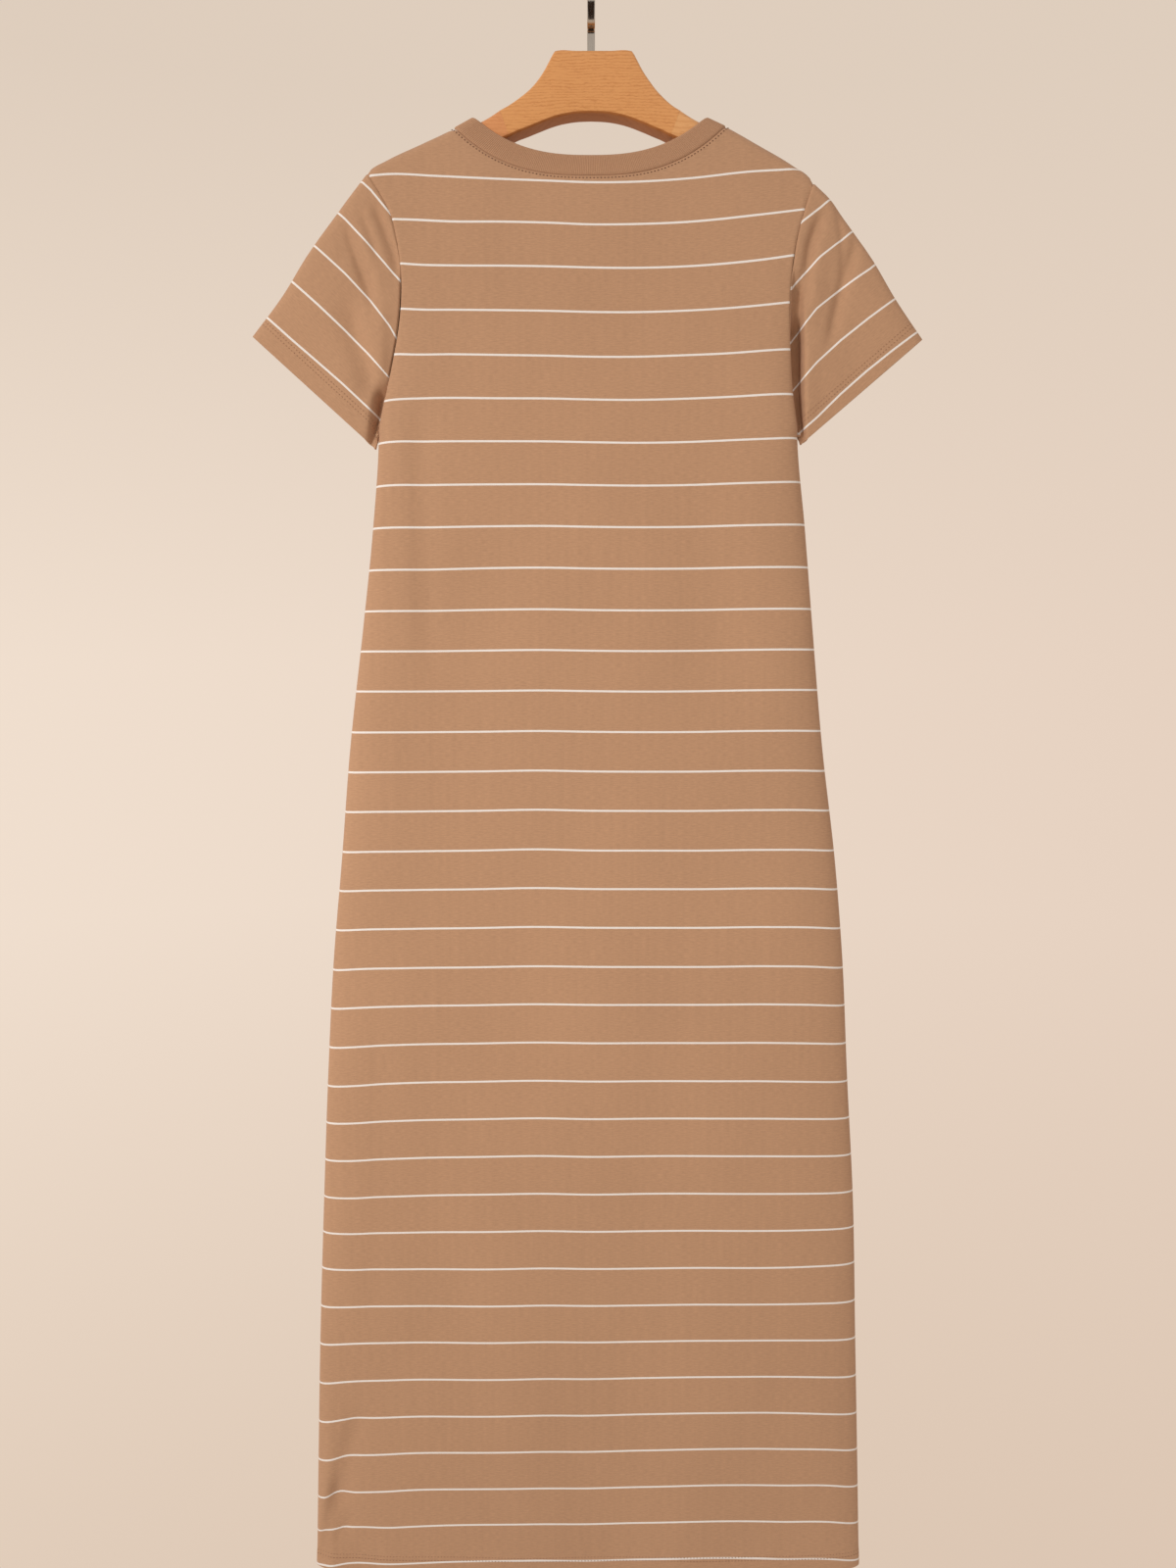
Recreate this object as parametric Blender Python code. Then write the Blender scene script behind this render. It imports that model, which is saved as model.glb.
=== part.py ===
"""A knitted T-shirt dress on a wooden hanger, hung by the hanger's metal hook.

Frame: metres, +Z up, the garment's back towards -Y, its left sleeve as seen from there at -X.
The origin is the point inside the top of the hook that bears on a rail.

The cloth is one folded sheet: it lies over the hanger arms along a ridge line, and falls as a
back and a front panel. Every cloth piece is read from the same surface, so that seams meet.
Each panel is made in nine parts, because the whole panel bends round the hollow of the dress.
"""
import math
from collections import namedtuple

import bmesh
import bpy
import numpy as np

# ---------------------------------------------------------------- driving dimensions, metres
WALL = 0.0016                 # knitted cloth, drawn a little thicker than the real jersey
RIB_WALL = 0.0020             # doubled rib of the neck band
RIB_PROUD = 0.0005            # how far the rib stands out of the panels
SEAM_GAP = 0.0003             # between sewn pieces
HEM_Z = -1.5080
ARMPIT_Z = -0.3900
NECK_POINT = 0.1226           # half width where the shoulder seams meet the neck seam
SHOULDER_END = {-1: (0.2009, -0.1593), 1: (0.2016, -0.1675)}    # half width and height of their far ends
RIDGE_DROP = 0.0100           # height in which the cloth rounds over a hanger arm
FOLD_START_Z = -0.2200        # no folds above this, where the cloth bears on the hanger
FOLD_FADE = 0.1000

WOOD_HALF_THICKNESS = 0.0110
WOOD_TOP_Z = -0.0565
WOOD_JOINT_X = 0.0730         # glued joint between the centre piece and an arm
WOOD_EDGE_LIMIT = 0.45        # largest share of a section's height that an edge rounding takes
BORE_RADIUS = 0.0028
BORE_DEPTH = 0.0150

HOOK_LOOP_RADIUS = 0.0185     # to the middle of the strip
HOOK_STRIP_WIDTH = 0.0070
HOOK_STRIP_THICKNESS = 0.0030
HOOK_BEND_RADIUS = 0.0070
HOOK_SHANK_RADIUS = 0.0024
HOOK_COLLAR_RADIUS = 0.0042
HOOK_COLLAR_RISES = [0.0, 0.0, 0.0012, 0.0020, 0.0060]    # above the wood, shank to strip
HOOK_NECK_THICKNESS = 0.0048  # of the strip where it leaves the collar
HOOK_TIP_SHARE = 0.60         # of the strip's width and thickness left at its tip
HOOK_TIP_ANGLE = -18.0        # degrees, where the loop ends past its open side

BACK = -1
FRONT = 1

# ---------------------------------------------------------------- tables, one row per section
Section = namedtuple("Section", "z left right depth squareness")
BODY_SECTIONS = [
    Section(-1.508, 0.2767, 0.2732, 0.0150, 9.0),
    Section(-1.400, 0.2731, 0.2694, 0.0160, 9.0),
    Section(-1.270, 0.2684, 0.2645, 0.0172, 8.5),
    Section(-1.120, 0.2613, 0.2588, 0.0184, 8.0),
    Section(-1.000, 0.2549, 0.2507, 0.0190, 8.0),
    Section(-0.880, 0.2467, 0.2434, 0.0195, 8.0),
    Section(-0.790, 0.2376, 0.2348, 0.0195, 8.0),
    Section(-0.676, 0.2268, 0.2200, 0.0190, 8.0),
    Section(-0.566, 0.2128, 0.2090, 0.0182, 9.0),
    Section(-0.475, 0.2020, 0.2003, 0.0174, 10.0),
    Section(-0.390, 0.1951, 0.1917, 0.0166, 13.0),
    Section(-0.330, 0.1951, 0.1917, 0.0158, 13.0),
    Section(-0.270, 0.1951, 0.1917, 0.0142, 12.0),
    Section(-0.215, 0.1951, 0.1917, 0.0130, 12.0),
    Section(-0.060, 0.1951, 0.1917, 0.0130, 12.0),
]

Armhole = namedtuple("Armhole", "z left right depth")
ARMHOLE_SEAM = [
    Armhole(-0.390, 0.1951, 0.1917, 0.0000),
    Armhole(-0.386, 0.1946, 0.1914, 0.0028),
    Armhole(-0.375, 0.1926, 0.1899, 0.0048),
    Armhole(-0.352, 0.1867, 0.1862, 0.0066),
    Armhole(-0.326, 0.1805, 0.1838, 0.0084),
    Armhole(-0.300, 0.1752, 0.1823, 0.0102),
    Armhole(-0.270, 0.1718, 0.1820, 0.0118),
    Armhole(-0.240, 0.1717, 0.1838, 0.0127),
    Armhole(-0.215, 0.1752, 0.1875, 0.0130),
    Armhole(-0.196, 0.1798, 0.1922, 0.0130),
    Armhole(-0.180, 0.1882, 0.1970, 0.0130),
    Armhole(-0.1675, 0.1960, 0.2016, 0.0130),
    Armhole(-0.1593, 0.2009, 0.2034, 0.0130),
]

Ridge = namedtuple("Ridge", "x left right")
SHOULDER_RIDGE = [
    Ridge(0.0000, -0.0590, -0.0590),
    Ridge(0.0600, -0.0885, -0.0895),
    Ridge(0.1054, -0.1115, -0.1115),
    Ridge(0.1226, -0.1206, -0.1192),
    Ridge(0.1500, -0.1330, -0.1338),
    Ridge(0.1831, -0.1478, -0.1525),
    Ridge(0.1980, -0.1562, -0.1628),
    Ridge(0.2060, -0.1650, -0.1740),
]

NeckEdge = namedtuple("NeckEdge", "half_width centre_z power fullness")
NECK_SEAM = {
    BACK: NeckEdge(NECK_POINT, -0.1647, 2.3, 1.00),
    FRONT: NeckEdge(NECK_POINT, -0.2105, 2.2, 0.80),
}
NECK_RIM = {
    BACK: NeckEdge(0.1054, -0.1463, 2.15, 1.00),
    FRONT: NeckEdge(0.1054, -0.1920, 2.2, 0.80),
}

SleeveFold = namedtuple("SleeveFold", "t left_x left_z right_x right_z depth")
SLEEVE_RIDGE = [
    SleeveFold(0.00, 0.2009, -0.1593, 0.2016, -0.1675, 0.0138),
    SleeveFold(0.12, 0.2146, -0.1757, 0.2168, -0.1810, 0.0135),
    SleeveFold(0.25, 0.2290, -0.1940, 0.2303, -0.1990, 0.0126),
    SleeveFold(0.50, 0.2565, -0.2290, 0.2566, -0.2330, 0.0106),
    SleeveFold(0.75, 0.2813, -0.2662, 0.2798, -0.2691, 0.0088),
    SleeveFold(1.00, 0.3092, -0.3012, 0.3048, -0.3038, 0.0074),
]
SLEEVE_CORNER = {-1: (0.1994, -0.4020), 1: (0.1964, -0.3984)}

Fold = namedtuple("Fold", "face x z lean length width height")
FOLDS = [
    Fold(BACK, -0.262, -1.480, 0.0, 0.110, 0.010, 0.0050),
    Fold(BACK, -0.235, -1.490, 0.0, 0.140, 0.022, -0.0030),
    Fold(BACK, -0.070, -1.330, -3.0, 0.300, 0.050, 0.0040),
    Fold(BACK, 0.120, -1.360, 4.0, 0.280, 0.055, 0.0035),
    Fold(BACK, 0.020, -0.900, 1.0, 0.340, 0.075, 0.0030),
    Fold(BACK, -0.110, -0.560, 14.0, 0.130, 0.040, -0.0030),
    Fold(BACK, 0.115, -0.570, -14.0, 0.130, 0.040, -0.0030),
    Fold(FRONT, -0.130, -1.350, -5.0, 0.300, 0.060, 0.0045),
    Fold(FRONT, 0.080, -1.300, 3.0, 0.320, 0.055, 0.0040),
    Fold(FRONT, 0.240, -1.460, 0.0, 0.130, 0.018, -0.0030),
    Fold(FRONT, -0.010, -0.850, 1.0, 0.320, 0.080, 0.0035),
    Fold(FRONT, -0.105, -0.520, 16.0, 0.140, 0.040, -0.0030),
    Fold(FRONT, 0.105, -0.530, -16.0, 0.140, 0.040, -0.0030),
]

SleeveCrease = namedtuple("SleeveCrease", "side t s width_t width_s height")
SLEEVE_CREASES = [
    SleeveCrease(-1, 0.30, 0.34, 0.22, 0.075, -0.0026),
    SleeveCrease(-1, 0.62, 0.62, 0.30, 0.120, 0.0016),
    SleeveCrease(1, 0.28, 0.30, 0.24, 0.085, -0.0026),
    SleeveCrease(1, 0.60, 0.60, 0.30, 0.120, 0.0016),
]

Wood = namedtuple("Wood", "x top bottom edge")
CENTRE_WOOD = [
    Wood(0.0000, -0.0565, -0.1092, 0.0026),
    Wood(0.0150, -0.0565, -0.1100, 0.0026),
    Wood(0.0315, -0.0565, -0.1131, 0.0026),
    Wood(0.0335, -0.0570, -0.1138, 0.0026),
    Wood(0.0350, -0.0586, -0.1143, 0.0026),
    Wood(0.0390, -0.0654, -0.1157, 0.0026),
    Wood(0.0435, -0.0726, -0.1174, 0.0026),
    Wood(0.0490, -0.0806, -0.1195, 0.0026),
    Wood(0.0549, -0.0878, -0.1219, 0.0026),
    Wood(0.0630, -0.0954, -0.1254, 0.0028),
    Wood(WOOD_JOINT_X, -0.1029, -0.1299, 0.0030),
]
ARM_WOOD = [
    Wood(WOOD_JOINT_X, -0.1029, -0.1299, 0.0030),
    Wood(0.0856, -0.1100, -0.1356, 0.0045),
    Wood(0.1014, -0.1171, -0.1430, 0.0075),
    Wood(0.1180, -0.1228, -0.1504, 0.0090),
    Wood(0.1306, -0.1270, -0.1558, 0.0090),
    Wood(0.1500, -0.1367, -0.1640, 0.0090),
    Wood(0.1700, -0.1478, -0.1722, 0.0090),
    Wood(0.1831, -0.1554, -0.1770, 0.0088),
    Wood(0.1880, -0.1596, -0.1768, 0.0080),
    Wood(0.1905, -0.1640, -0.1748, 0.0050),
]

# ---------------------------------------------------------------- resolution and blends
FINE_STEPS = 400              # samples in which a place on a curve is looked up
HEIGHT_TOLERANCE = 1e-6
ROUND_STEPS = 4               # steps over the ridge, top to side
SHOULDER_COLUMNS = 5
NECK_COLUMNS = 5              # from the round-over to the centre
HALF_COLUMNS = SHOULDER_COLUMNS + ROUND_STEPS + NECK_COLUMNS
EDGE_CROWDING = 1.8           # columns crowd towards the side seams, where the cloth rounds
YOKE_ROWS = 2                 # between the round-over and the first level row
SIDE_PARTS = [("upper", ARMPIT_Z, -0.850), ("middle", -0.850, -1.170), ("lower", -1.170, HEM_Z)]
YOKE_BLEND = [0.0, 0.02, 0.05, 0.09, 0.14, 0.42, 0.71]
FIRST_LEVEL = {BACK: -0.205, FRONT: -0.245}
ARMHOLE_LEVELS = [-0.205, -0.225, -0.245, -0.270, -0.300, -0.326, -0.352, -0.375, -0.386, ARMPIT_Z]
SKIRT_LEVELS = [-0.425, -0.475, -0.540, -0.610, -0.690, -0.770, -0.850, -0.930, -1.010, -1.090,
                -1.170, -1.250, -1.320, -1.390, -1.445, -1.485, HEM_Z]
SLEEVE_ROWS = [0.0, 0.05, 0.15, 0.30, 0.48, 0.66, 0.84, 1.0]
SLEEVE_SQUARENESS = 10.0
SLEEVE_TAPER = 0.25           # how much flatter a sleeve is under the arm than on its ridge
SLEEVE_LIFT = 0.35            # share of the sleeve over which it leaves the armhole's depth
SLEEVE_BOW_FADE = 1.3         # how soon the armhole's curve dies out along the sleeve
SLEEVE_WALL_Z = -0.2000       # below this a sleeve's wall turns from the panels' direction to its own
SLEEVE_WALL_FADE = 0.0600
WOOD_CORNER_STEPS = 4
BORE_SIDES = 16
HOOK_SIDES = 12
HOOK_STRIP_SQUARENESS = 0.45
HOOK_BEND_STEPS = 6
HOOK_LOOP_STEPS = 28


def table_curve(rows, key, value):
    """A smooth function through two columns of a table, flat beyond its ends."""
    ordered = sorted(rows, key=lambda row: getattr(row, key))
    knots = np.array([getattr(row, key) for row in ordered])
    values = np.array([getattr(row, value) for row in ordered])
    slopes = np.gradient(values, knots)

    def at(x):
        x = np.clip(x, knots[0], knots[-1])
        i = np.clip(np.searchsorted(knots, x) - 1, 0, len(knots) - 2)
        span = knots[i + 1] - knots[i]
        t = (x - knots[i]) / span
        ends = values[i] * (1 + 2 * t) * (1 - t) ** 2 + values[i + 1] * t * t * (3 - 2 * t)
        bends = slopes[i] * t * (1 - t) ** 2 - slopes[i + 1] * t * t * (1 - t)
        return ends + span * bends

    return at


def smoothstep(t):
    t = np.clip(t, 0.0, 1.0)
    return t * t * (3 - 2 * t)


SIDE_SEAM = {-1: table_curve(BODY_SECTIONS, "z", "left"), 1: table_curve(BODY_SECTIONS, "z", "right")}
ARM_SEAM = {-1: table_curve(ARMHOLE_SEAM, "z", "left"), 1: table_curve(ARMHOLE_SEAM, "z", "right")}
RIDGE_LINE = {-1: table_curve(SHOULDER_RIDGE, "x", "left"), 1: table_curve(SHOULDER_RIDGE, "x", "right")}
body_depth = table_curve(BODY_SECTIONS, "z", "depth")
body_squareness = table_curve(BODY_SECTIONS, "z", "squareness")
seam_depth = table_curve(ARMHOLE_SEAM, "z", "depth")


# ---------------------------------------------------------------- the cloth's surface
def edge_half_width(side, z):
    """Half width of the panels: the side seam, and the armhole seam above the armpit."""
    return np.where(z > ARMPIT_Z, ARM_SEAM[side](z), SIDE_SEAM[side](z))


def beside_sleeve(z):
    return z > ARMPIT_Z - HEIGHT_TOLERANCE


def ridge_height(x):
    return np.where(x < 0, RIDGE_LINE[-1](np.abs(x)), RIDGE_LINE[1](np.abs(x)))


def fold_height(face, x, z):
    """Soft ridges and troughs, none on the stretch that bears on the hanger."""
    total = np.zeros_like(x)
    for fold in FOLDS:
        if fold.face != face:
            continue
        lean = math.radians(fold.lean)
        along = (z - fold.z) * math.cos(lean) + (x - fold.x) * math.sin(lean)
        across = (x - fold.x) * math.cos(lean) - (z - fold.z) * math.sin(lean)
        bump = np.exp(-(along / fold.length) ** 2 - (across / fold.width) ** 2)
        total = total + fold.height * bump
    return total * smoothstep((FOLD_START_Z - z) / FOLD_FADE)


def surface_y(face, x, z):
    """Outer surface of a panel at a place in the front view."""
    x = np.asarray(x, float)
    z = np.asarray(z, float)
    half_width = np.where(x < 0, edge_half_width(-1, z), edge_half_width(1, z))
    across = np.clip(np.abs(x) / half_width, 0.0, 1.0)
    rounding = np.sqrt(1.0 - across ** body_squareness(z))
    edge = np.where(z > ARMPIT_Z, seam_depth(z), 0.0)
    depth = edge + (body_depth(z) - edge + fold_height(face, x, z)) * rounding
    drop = np.clip((ridge_height(x) - z) / RIDGE_DROP, 0.0, 1.0)
    return face * depth * np.sqrt(1.0 - (1.0 - drop) ** 2)


def neck_edge_z(edge, x):
    """Height of a neckline: from its centre up to the shoulder ridge."""
    top = ridge_height(np.sign(x) * edge.half_width)
    share = np.clip(np.abs(x) / edge.half_width, 0.0, 1.0)
    return top + (edge.centre_z - top) * (1.0 - share ** edge.power) ** edge.fullness


def round_over_drops():
    """Drops below the ridge, at even angles over the arm."""
    angles = np.linspace(0.0, math.pi / 2, ROUND_STEPS + 1)
    return RIDGE_DROP * (1.0 - np.cos(angles))


def neck_columns(side, edge):
    """Places across half a neckline: even angles over the ridge, then even steps to the centre."""
    x = side * edge.half_width * np.linspace(1.0, 0.3, FINE_STEPS)
    drops = ridge_height(x) - neck_edge_z(edge, x)
    over = np.interp(round_over_drops(), drops, x)
    inward = over[-1] * np.linspace(1.0, 0.0, NECK_COLUMNS + 1)[1:]
    return np.concatenate([over, inward])


def armhole_heights(side):
    """Heights on the armhole seam at the round-over's drops below the ridge."""
    z = np.linspace(SHOULDER_END[side][1], SHOULDER_END[side][1] - 5 * RIDGE_DROP, FINE_STEPS)
    drops = ridge_height(side * ARM_SEAM[side](z)) - z
    drops = drops - drops[0]
    return np.interp(round_over_drops(), drops, z)


def half_panel(side, face):
    """Front view places of half a panel, rows from the top edge down, columns from the side in."""
    shoulder_end = SHOULDER_END[side][0]
    shoulder = side * np.linspace(shoulder_end, NECK_POINT, SHOULDER_COLUMNS + 1)
    neck = neck_columns(side, NECK_SEAM[face])[1:]
    top_x = np.concatenate([shoulder, neck])
    top_z = np.concatenate([ridge_height(shoulder), neck_edge_z(NECK_SEAM[face], neck)])
    top_drop = ridge_height(top_x) - top_z
    top_share = np.abs(top_x) / shoulder_end
    level_share = 1.0 - np.linspace(0.0, 1.0, HALF_COLUMNS + 1) ** EDGE_CROWDING
    first = FIRST_LEVEL[face]
    seam_z = armhole_heights(side)
    rows = []
    for k, drop in enumerate(round_over_drops()):
        share = top_share + (level_share - top_share) * YOKE_BLEND[k]
        x = side * ARM_SEAM[side](seam_z[k]) * share
        z = ridge_height(x) - top_drop - drop
        z[0] = seam_z[k]
        rows.append((x, z))
    last_z = rows[-1][1]
    for step in range(1, YOKE_ROWS + 1):
        z = last_z + (first - last_z) * step / (YOKE_ROWS + 1)
        share = top_share + (level_share - top_share) * YOKE_BLEND[ROUND_STEPS + step]
        rows.append((side * ARM_SEAM[side](z[0]) * share, z))
    for level in [z for z in ARMHOLE_LEVELS if z <= first] + SKIRT_LEVELS:
        z = np.full(HALF_COLUMNS + 1, level)
        rows.append((side * edge_half_width(side, level) * level_share, z))
    return np.array([row[0] for row in rows]), np.array([row[1] for row in rows])


def panel_points(face):
    """Outer points of a panel as a grid, before its seams are parted from their neighbours."""
    left_x, left_z = half_panel(-1, face)
    right_x, right_z = half_panel(1, face)
    x = np.concatenate([left_x, right_x[:, -2::-1]], axis=1)
    z = np.concatenate([left_z, right_z[:, -2::-1]], axis=1)
    y = surface_y(face, x, z)
    on_shoulder = np.zeros(x.shape[1], bool)
    on_shoulder[:SHOULDER_COLUMNS + 1] = True
    on_shoulder[-SHOULDER_COLUMNS - 1:] = True
    y[0, on_shoulder] = 0.0
    return np.stack([x, y, z], axis=-1)


def grid_normals(points, closed):
    """Unit normals of a grid of points, rows first; closed grids wrap round their columns."""
    down = np.gradient(points, axis=0)
    if closed:
        across = (np.roll(points, -1, axis=1) - np.roll(points, 1, axis=1)) / 2
    else:
        across = np.gradient(points, axis=1)
    normals = np.cross(down, across)
    return normals / np.linalg.norm(normals, axis=-1, keepdims=True)


def flatten_seam_normals(normals, on_seam):
    """Where front meets back, the wall's end lies in the plane between them."""
    normals[on_seam, 1] = 0.0
    return normals / np.linalg.norm(normals, axis=-1, keepdims=True)


# ---------------------------------------------------------------- meshes
def wall_object(name, outer, inner, closed, material):
    """A closed wall between two grids of points; a closed grid is a tube or a ring."""
    rows, columns = outer.shape[:2]
    bm = bmesh.new()
    outside = [[bm.verts.new(outer[i, j]) for j in range(columns)] for i in range(rows)]
    inside = [[bm.verts.new(inner[i, j]) for j in range(columns)] for i in range(rows)]
    spans = columns if closed else columns - 1
    for i in range(rows - 1):
        for j in range(spans):
            k = (j + 1) % columns
            bm.faces.new((outside[i][j], outside[i + 1][j], outside[i + 1][k], outside[i][k]))
            bm.faces.new((inside[i][j], inside[i][k], inside[i + 1][k], inside[i + 1][j]))
    for i in (0, rows - 1):
        for j in range(spans):
            k = (j + 1) % columns
            bm.faces.new((outside[i][j], outside[i][k], inside[i][k], inside[i][j]))
    if not closed:
        for j in (0, columns - 1):
            for i in range(rows - 1):
                bm.faces.new((outside[i][j], inside[i][j], inside[i + 1][j], outside[i + 1][j]))
    return mesh_object(name, bm, material)


def mesh_object(name, bm, material, sharp_angle=40.0):
    bmesh.ops.triangulate(bm, faces=bm.faces[:])
    bmesh.ops.recalc_face_normals(bm, faces=bm.faces[:])
    mesh = bpy.data.meshes.new(name)
    bm.to_mesh(mesh)
    bm.free()
    mesh.shade_smooth()
    mesh.set_sharp_from_angle(angle=math.radians(sharp_angle))
    mesh.materials.append(material)
    thing = bpy.data.objects.new(name, mesh)
    bpy.context.scene.collection.objects.link(thing)
    return thing


def principled(name, colour, roughness, metallic=0.0):
    material = bpy.data.materials.new(name)
    material.use_nodes = True
    shader = material.node_tree.nodes["Principled BSDF"]
    shader.inputs["Base Color"].default_value = (*colour, 1.0)
    shader.inputs["Roughness"].default_value = roughness
    shader.inputs["Metallic"].default_value = metallic
    return material


# ---------------------------------------------------------------- cloth pieces
def neck_gap_shift(points):
    """Half a seam gap, away from the neck band, for the points of a neckline in order."""
    along = np.gradient(points, axis=0)
    shift = np.stack([along[:, 2], np.zeros(len(points)), -along[:, 0]], axis=-1)
    shift /= np.linalg.norm(shift[:, [0, 2]], axis=1)[:, None]
    return shift * np.sign(-shift[:, 2:3]) * SEAM_GAP / 2


def panel_normals(face, points):
    normals = grid_normals(points, closed=False) * -face
    on_seam = points[..., 1] == 0.0
    return flatten_seam_normals(normals, on_seam)


def neck_slice(points):
    return slice(SHOULDER_COLUMNS, points.shape[1] - SHOULDER_COLUMNS)


def panel_parts(face):
    """Name, rows and columns of each part of a panel: two yokes, a flat middle and turned-in sides."""
    levels = [z for z in ARMHOLE_LEVELS if z <= FIRST_LEVEL[face]] + SKIRT_LEVELS
    row = {z: ROUND_STEPS + YOKE_ROWS + 1 + i for i, z in enumerate(levels)}
    last = 2 * HALF_COLUMNS
    prefix = {BACK: "back_", FRONT: "front_"}[face]
    parts = [
        (prefix + "yoke_left", (0, row[ARMPIT_Z]), (0, HALF_COLUMNS)),
        (prefix + "yoke_right", (0, row[ARMPIT_Z]), (HALF_COLUMNS, last)),
        (prefix + "panel", (row[ARMPIT_Z], row[HEM_Z]), (SHOULDER_COLUMNS, last - SHOULDER_COLUMNS)),
    ]
    for part, top, bottom in SIDE_PARTS:
        rows = (row[top], row[bottom])
        parts.append((prefix + "side_left_" + part, rows, (0, SHOULDER_COLUMNS)))
        parts.append((prefix + "side_right_" + part, rows, (last - SHOULDER_COLUMNS, last)))
    return parts


def parted(points, rows, columns):
    """One part of a panel's grid, half a seam gap short of its neighbours."""
    part = points[rows[0]:rows[1] + 1, columns[0]:columns[1] + 1].copy()
    if rows[0] > 0:
        part[0, :, 2] -= SEAM_GAP / 2
    if rows[1] < len(points) - 1:
        part[-1, :, 2] += SEAM_GAP / 2
    if columns[0] > 0:
        part[:, 0, 0] += SEAM_GAP / 2
    if columns[1] < points.shape[1] - 1:
        part[:, -1, 0] -= SEAM_GAP / 2
    return part


def build_panel(face, points, material):
    normals = panel_normals(face, points)
    outer = points.copy()
    outer[points[..., 1] == 0.0, 1] = face * SEAM_GAP / 2
    outer[0, neck_slice(points)] += neck_gap_shift(points[0, neck_slice(points)])
    armhole = beside_sleeve(points[:, 0, 2])
    outer[armhole, 0, 0] += SEAM_GAP / 2
    outer[armhole, -1, 0] -= SEAM_GAP / 2
    inner = outer - WALL * normals
    for name, rows, columns in panel_parts(face):
        wall_object(name, parted(outer, rows, columns), parted(inner, rows, columns), False, material)


def armhole_ring(side, panels):
    """The armhole seam as a ring: down the back from the shoulder, and up the front."""
    column = 0 if side < 0 else -1
    lines = []
    for face in (BACK, FRONT):
        line = panels[face][:, column]
        lines.append(line[beside_sleeve(line[:, 2])])
    return np.concatenate([lines[0], lines[1][-2:0:-1]]), len(lines[0]) - 1


def armhole_normals(side, panels, own):
    """Wall directions along a sleeve's armhole: the panels' over the shoulder, its own lower down."""
    column = 0 if side < 0 else -1
    directions = []
    heights = []
    for face in (BACK, FRONT):
        z = panels[face][:, column, 2]
        directions.append(panel_normals(face, panels[face])[:, column][beside_sleeve(z)])
        heights.append(z[beside_sleeve(z)])
    directions = np.concatenate([directions[0], directions[1][-2:0:-1]])
    heights = np.concatenate([heights[0], heights[1][-2:0:-1]])
    own_share = smoothstep((SLEEVE_WALL_Z - heights) / SLEEVE_WALL_FADE)[:, None]
    mixed = directions * (1.0 - own_share) + own * own_share
    return mixed / np.linalg.norm(mixed, axis=1)[:, None]


def ring_shares(ring, bottom):
    """How far each point of the armhole lies from the shoulder to the armpit, 0 to 1."""
    step = np.linalg.norm(np.diff(np.vstack([ring, ring[:1]]), axis=0), axis=1)
    run = np.concatenate([[0.0], np.cumsum(step)])
    down = run[:bottom + 1] / run[bottom]
    up = (run[-1] - run[bottom + 1:-1]) / (run[-1] - run[bottom])
    return np.concatenate([down, up])


def sleeve_points(side, panels):
    """Outer points of a sleeve: rows from the armhole to the hem, columns round the tube."""
    ring, bottom = armhole_ring(side, panels)
    share = ring_shares(ring, bottom)
    face = np.where(np.arange(len(ring)) <= bottom, BACK, FRONT)
    name = {-1: "left", 1: "right"}[side]
    ridge_x = table_curve(SLEEVE_RIDGE, "t", name + "_x")
    ridge_z = table_curve(SLEEVE_RIDGE, "t", name + "_z")
    depth = table_curve(SLEEVE_RIDGE, "t", "depth")
    corner_x, corner_z = SLEEVE_CORNER[side]
    profile = np.sqrt(1.0 - np.abs(2.0 * share - 1.0) ** SLEEVE_SQUARENESS)
    profile = profile * (1.0 - SLEEVE_TAPER * share ** 2)
    chord_x = ridge_x(0.0) + (np.abs(ring[bottom, 0]) - ridge_x(0.0)) * share
    chord_z = ridge_z(0.0) + (ring[bottom, 2] - ridge_z(0.0)) * share
    bow_x = np.abs(ring[:, 0]) - chord_x
    bow_z = ring[:, 2] - chord_z
    rows = []
    for t in SLEEVE_ROWS:
        under_x = np.abs(ring[bottom, 0]) + (corner_x - np.abs(ring[bottom, 0])) * t
        under_z = ring[bottom, 2] + (corner_z - ring[bottom, 2]) * t
        fade = (1.0 - t) ** SLEEVE_BOW_FADE
        x = ridge_x(t) + (under_x - ridge_x(t)) * share + bow_x * fade
        z = ridge_z(t) + (under_z - ridge_z(t)) * share + bow_z * fade
        lifted = smoothstep(t / SLEEVE_LIFT)
        y = np.abs(ring[:, 1]) * (1.0 - lifted) + depth(t) * profile * lifted
        for crease in SLEEVE_CREASES:
            if crease.side == side:
                reach = ((t - crease.t) / crease.width_t) ** 2
                reach = reach + ((share - crease.s) / crease.width_s) ** 2
                y = y + crease.height * np.exp(-reach) * lifted * (profile > 0)
        rows.append(np.stack([side * (x + SEAM_GAP / 2), face * y, z], axis=-1))
    points = np.array(rows)
    points[:, 0, 1] = 0.0
    points[:, bottom, 1] = 0.0
    return points


def build_sleeve(name, side, panels, material):
    points = sleeve_points(side, panels)
    normals = grid_normals(points, closed=True) * -side
    normals[0] = armhole_normals(side, panels, normals[0])
    hem = points[-1]
    chord = hem[hem[:, 2].argmin()] - hem[0]
    axis = np.cross(chord, (0.0, 1.0, 0.0)) / np.linalg.norm(chord)
    normals[-1] -= np.outer(normals[-1] @ axis, axis)
    normals[-1] /= np.linalg.norm(normals[-1], axis=1)[:, None]
    return wall_object(name, points, points - WALL * normals, True, material)


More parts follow.
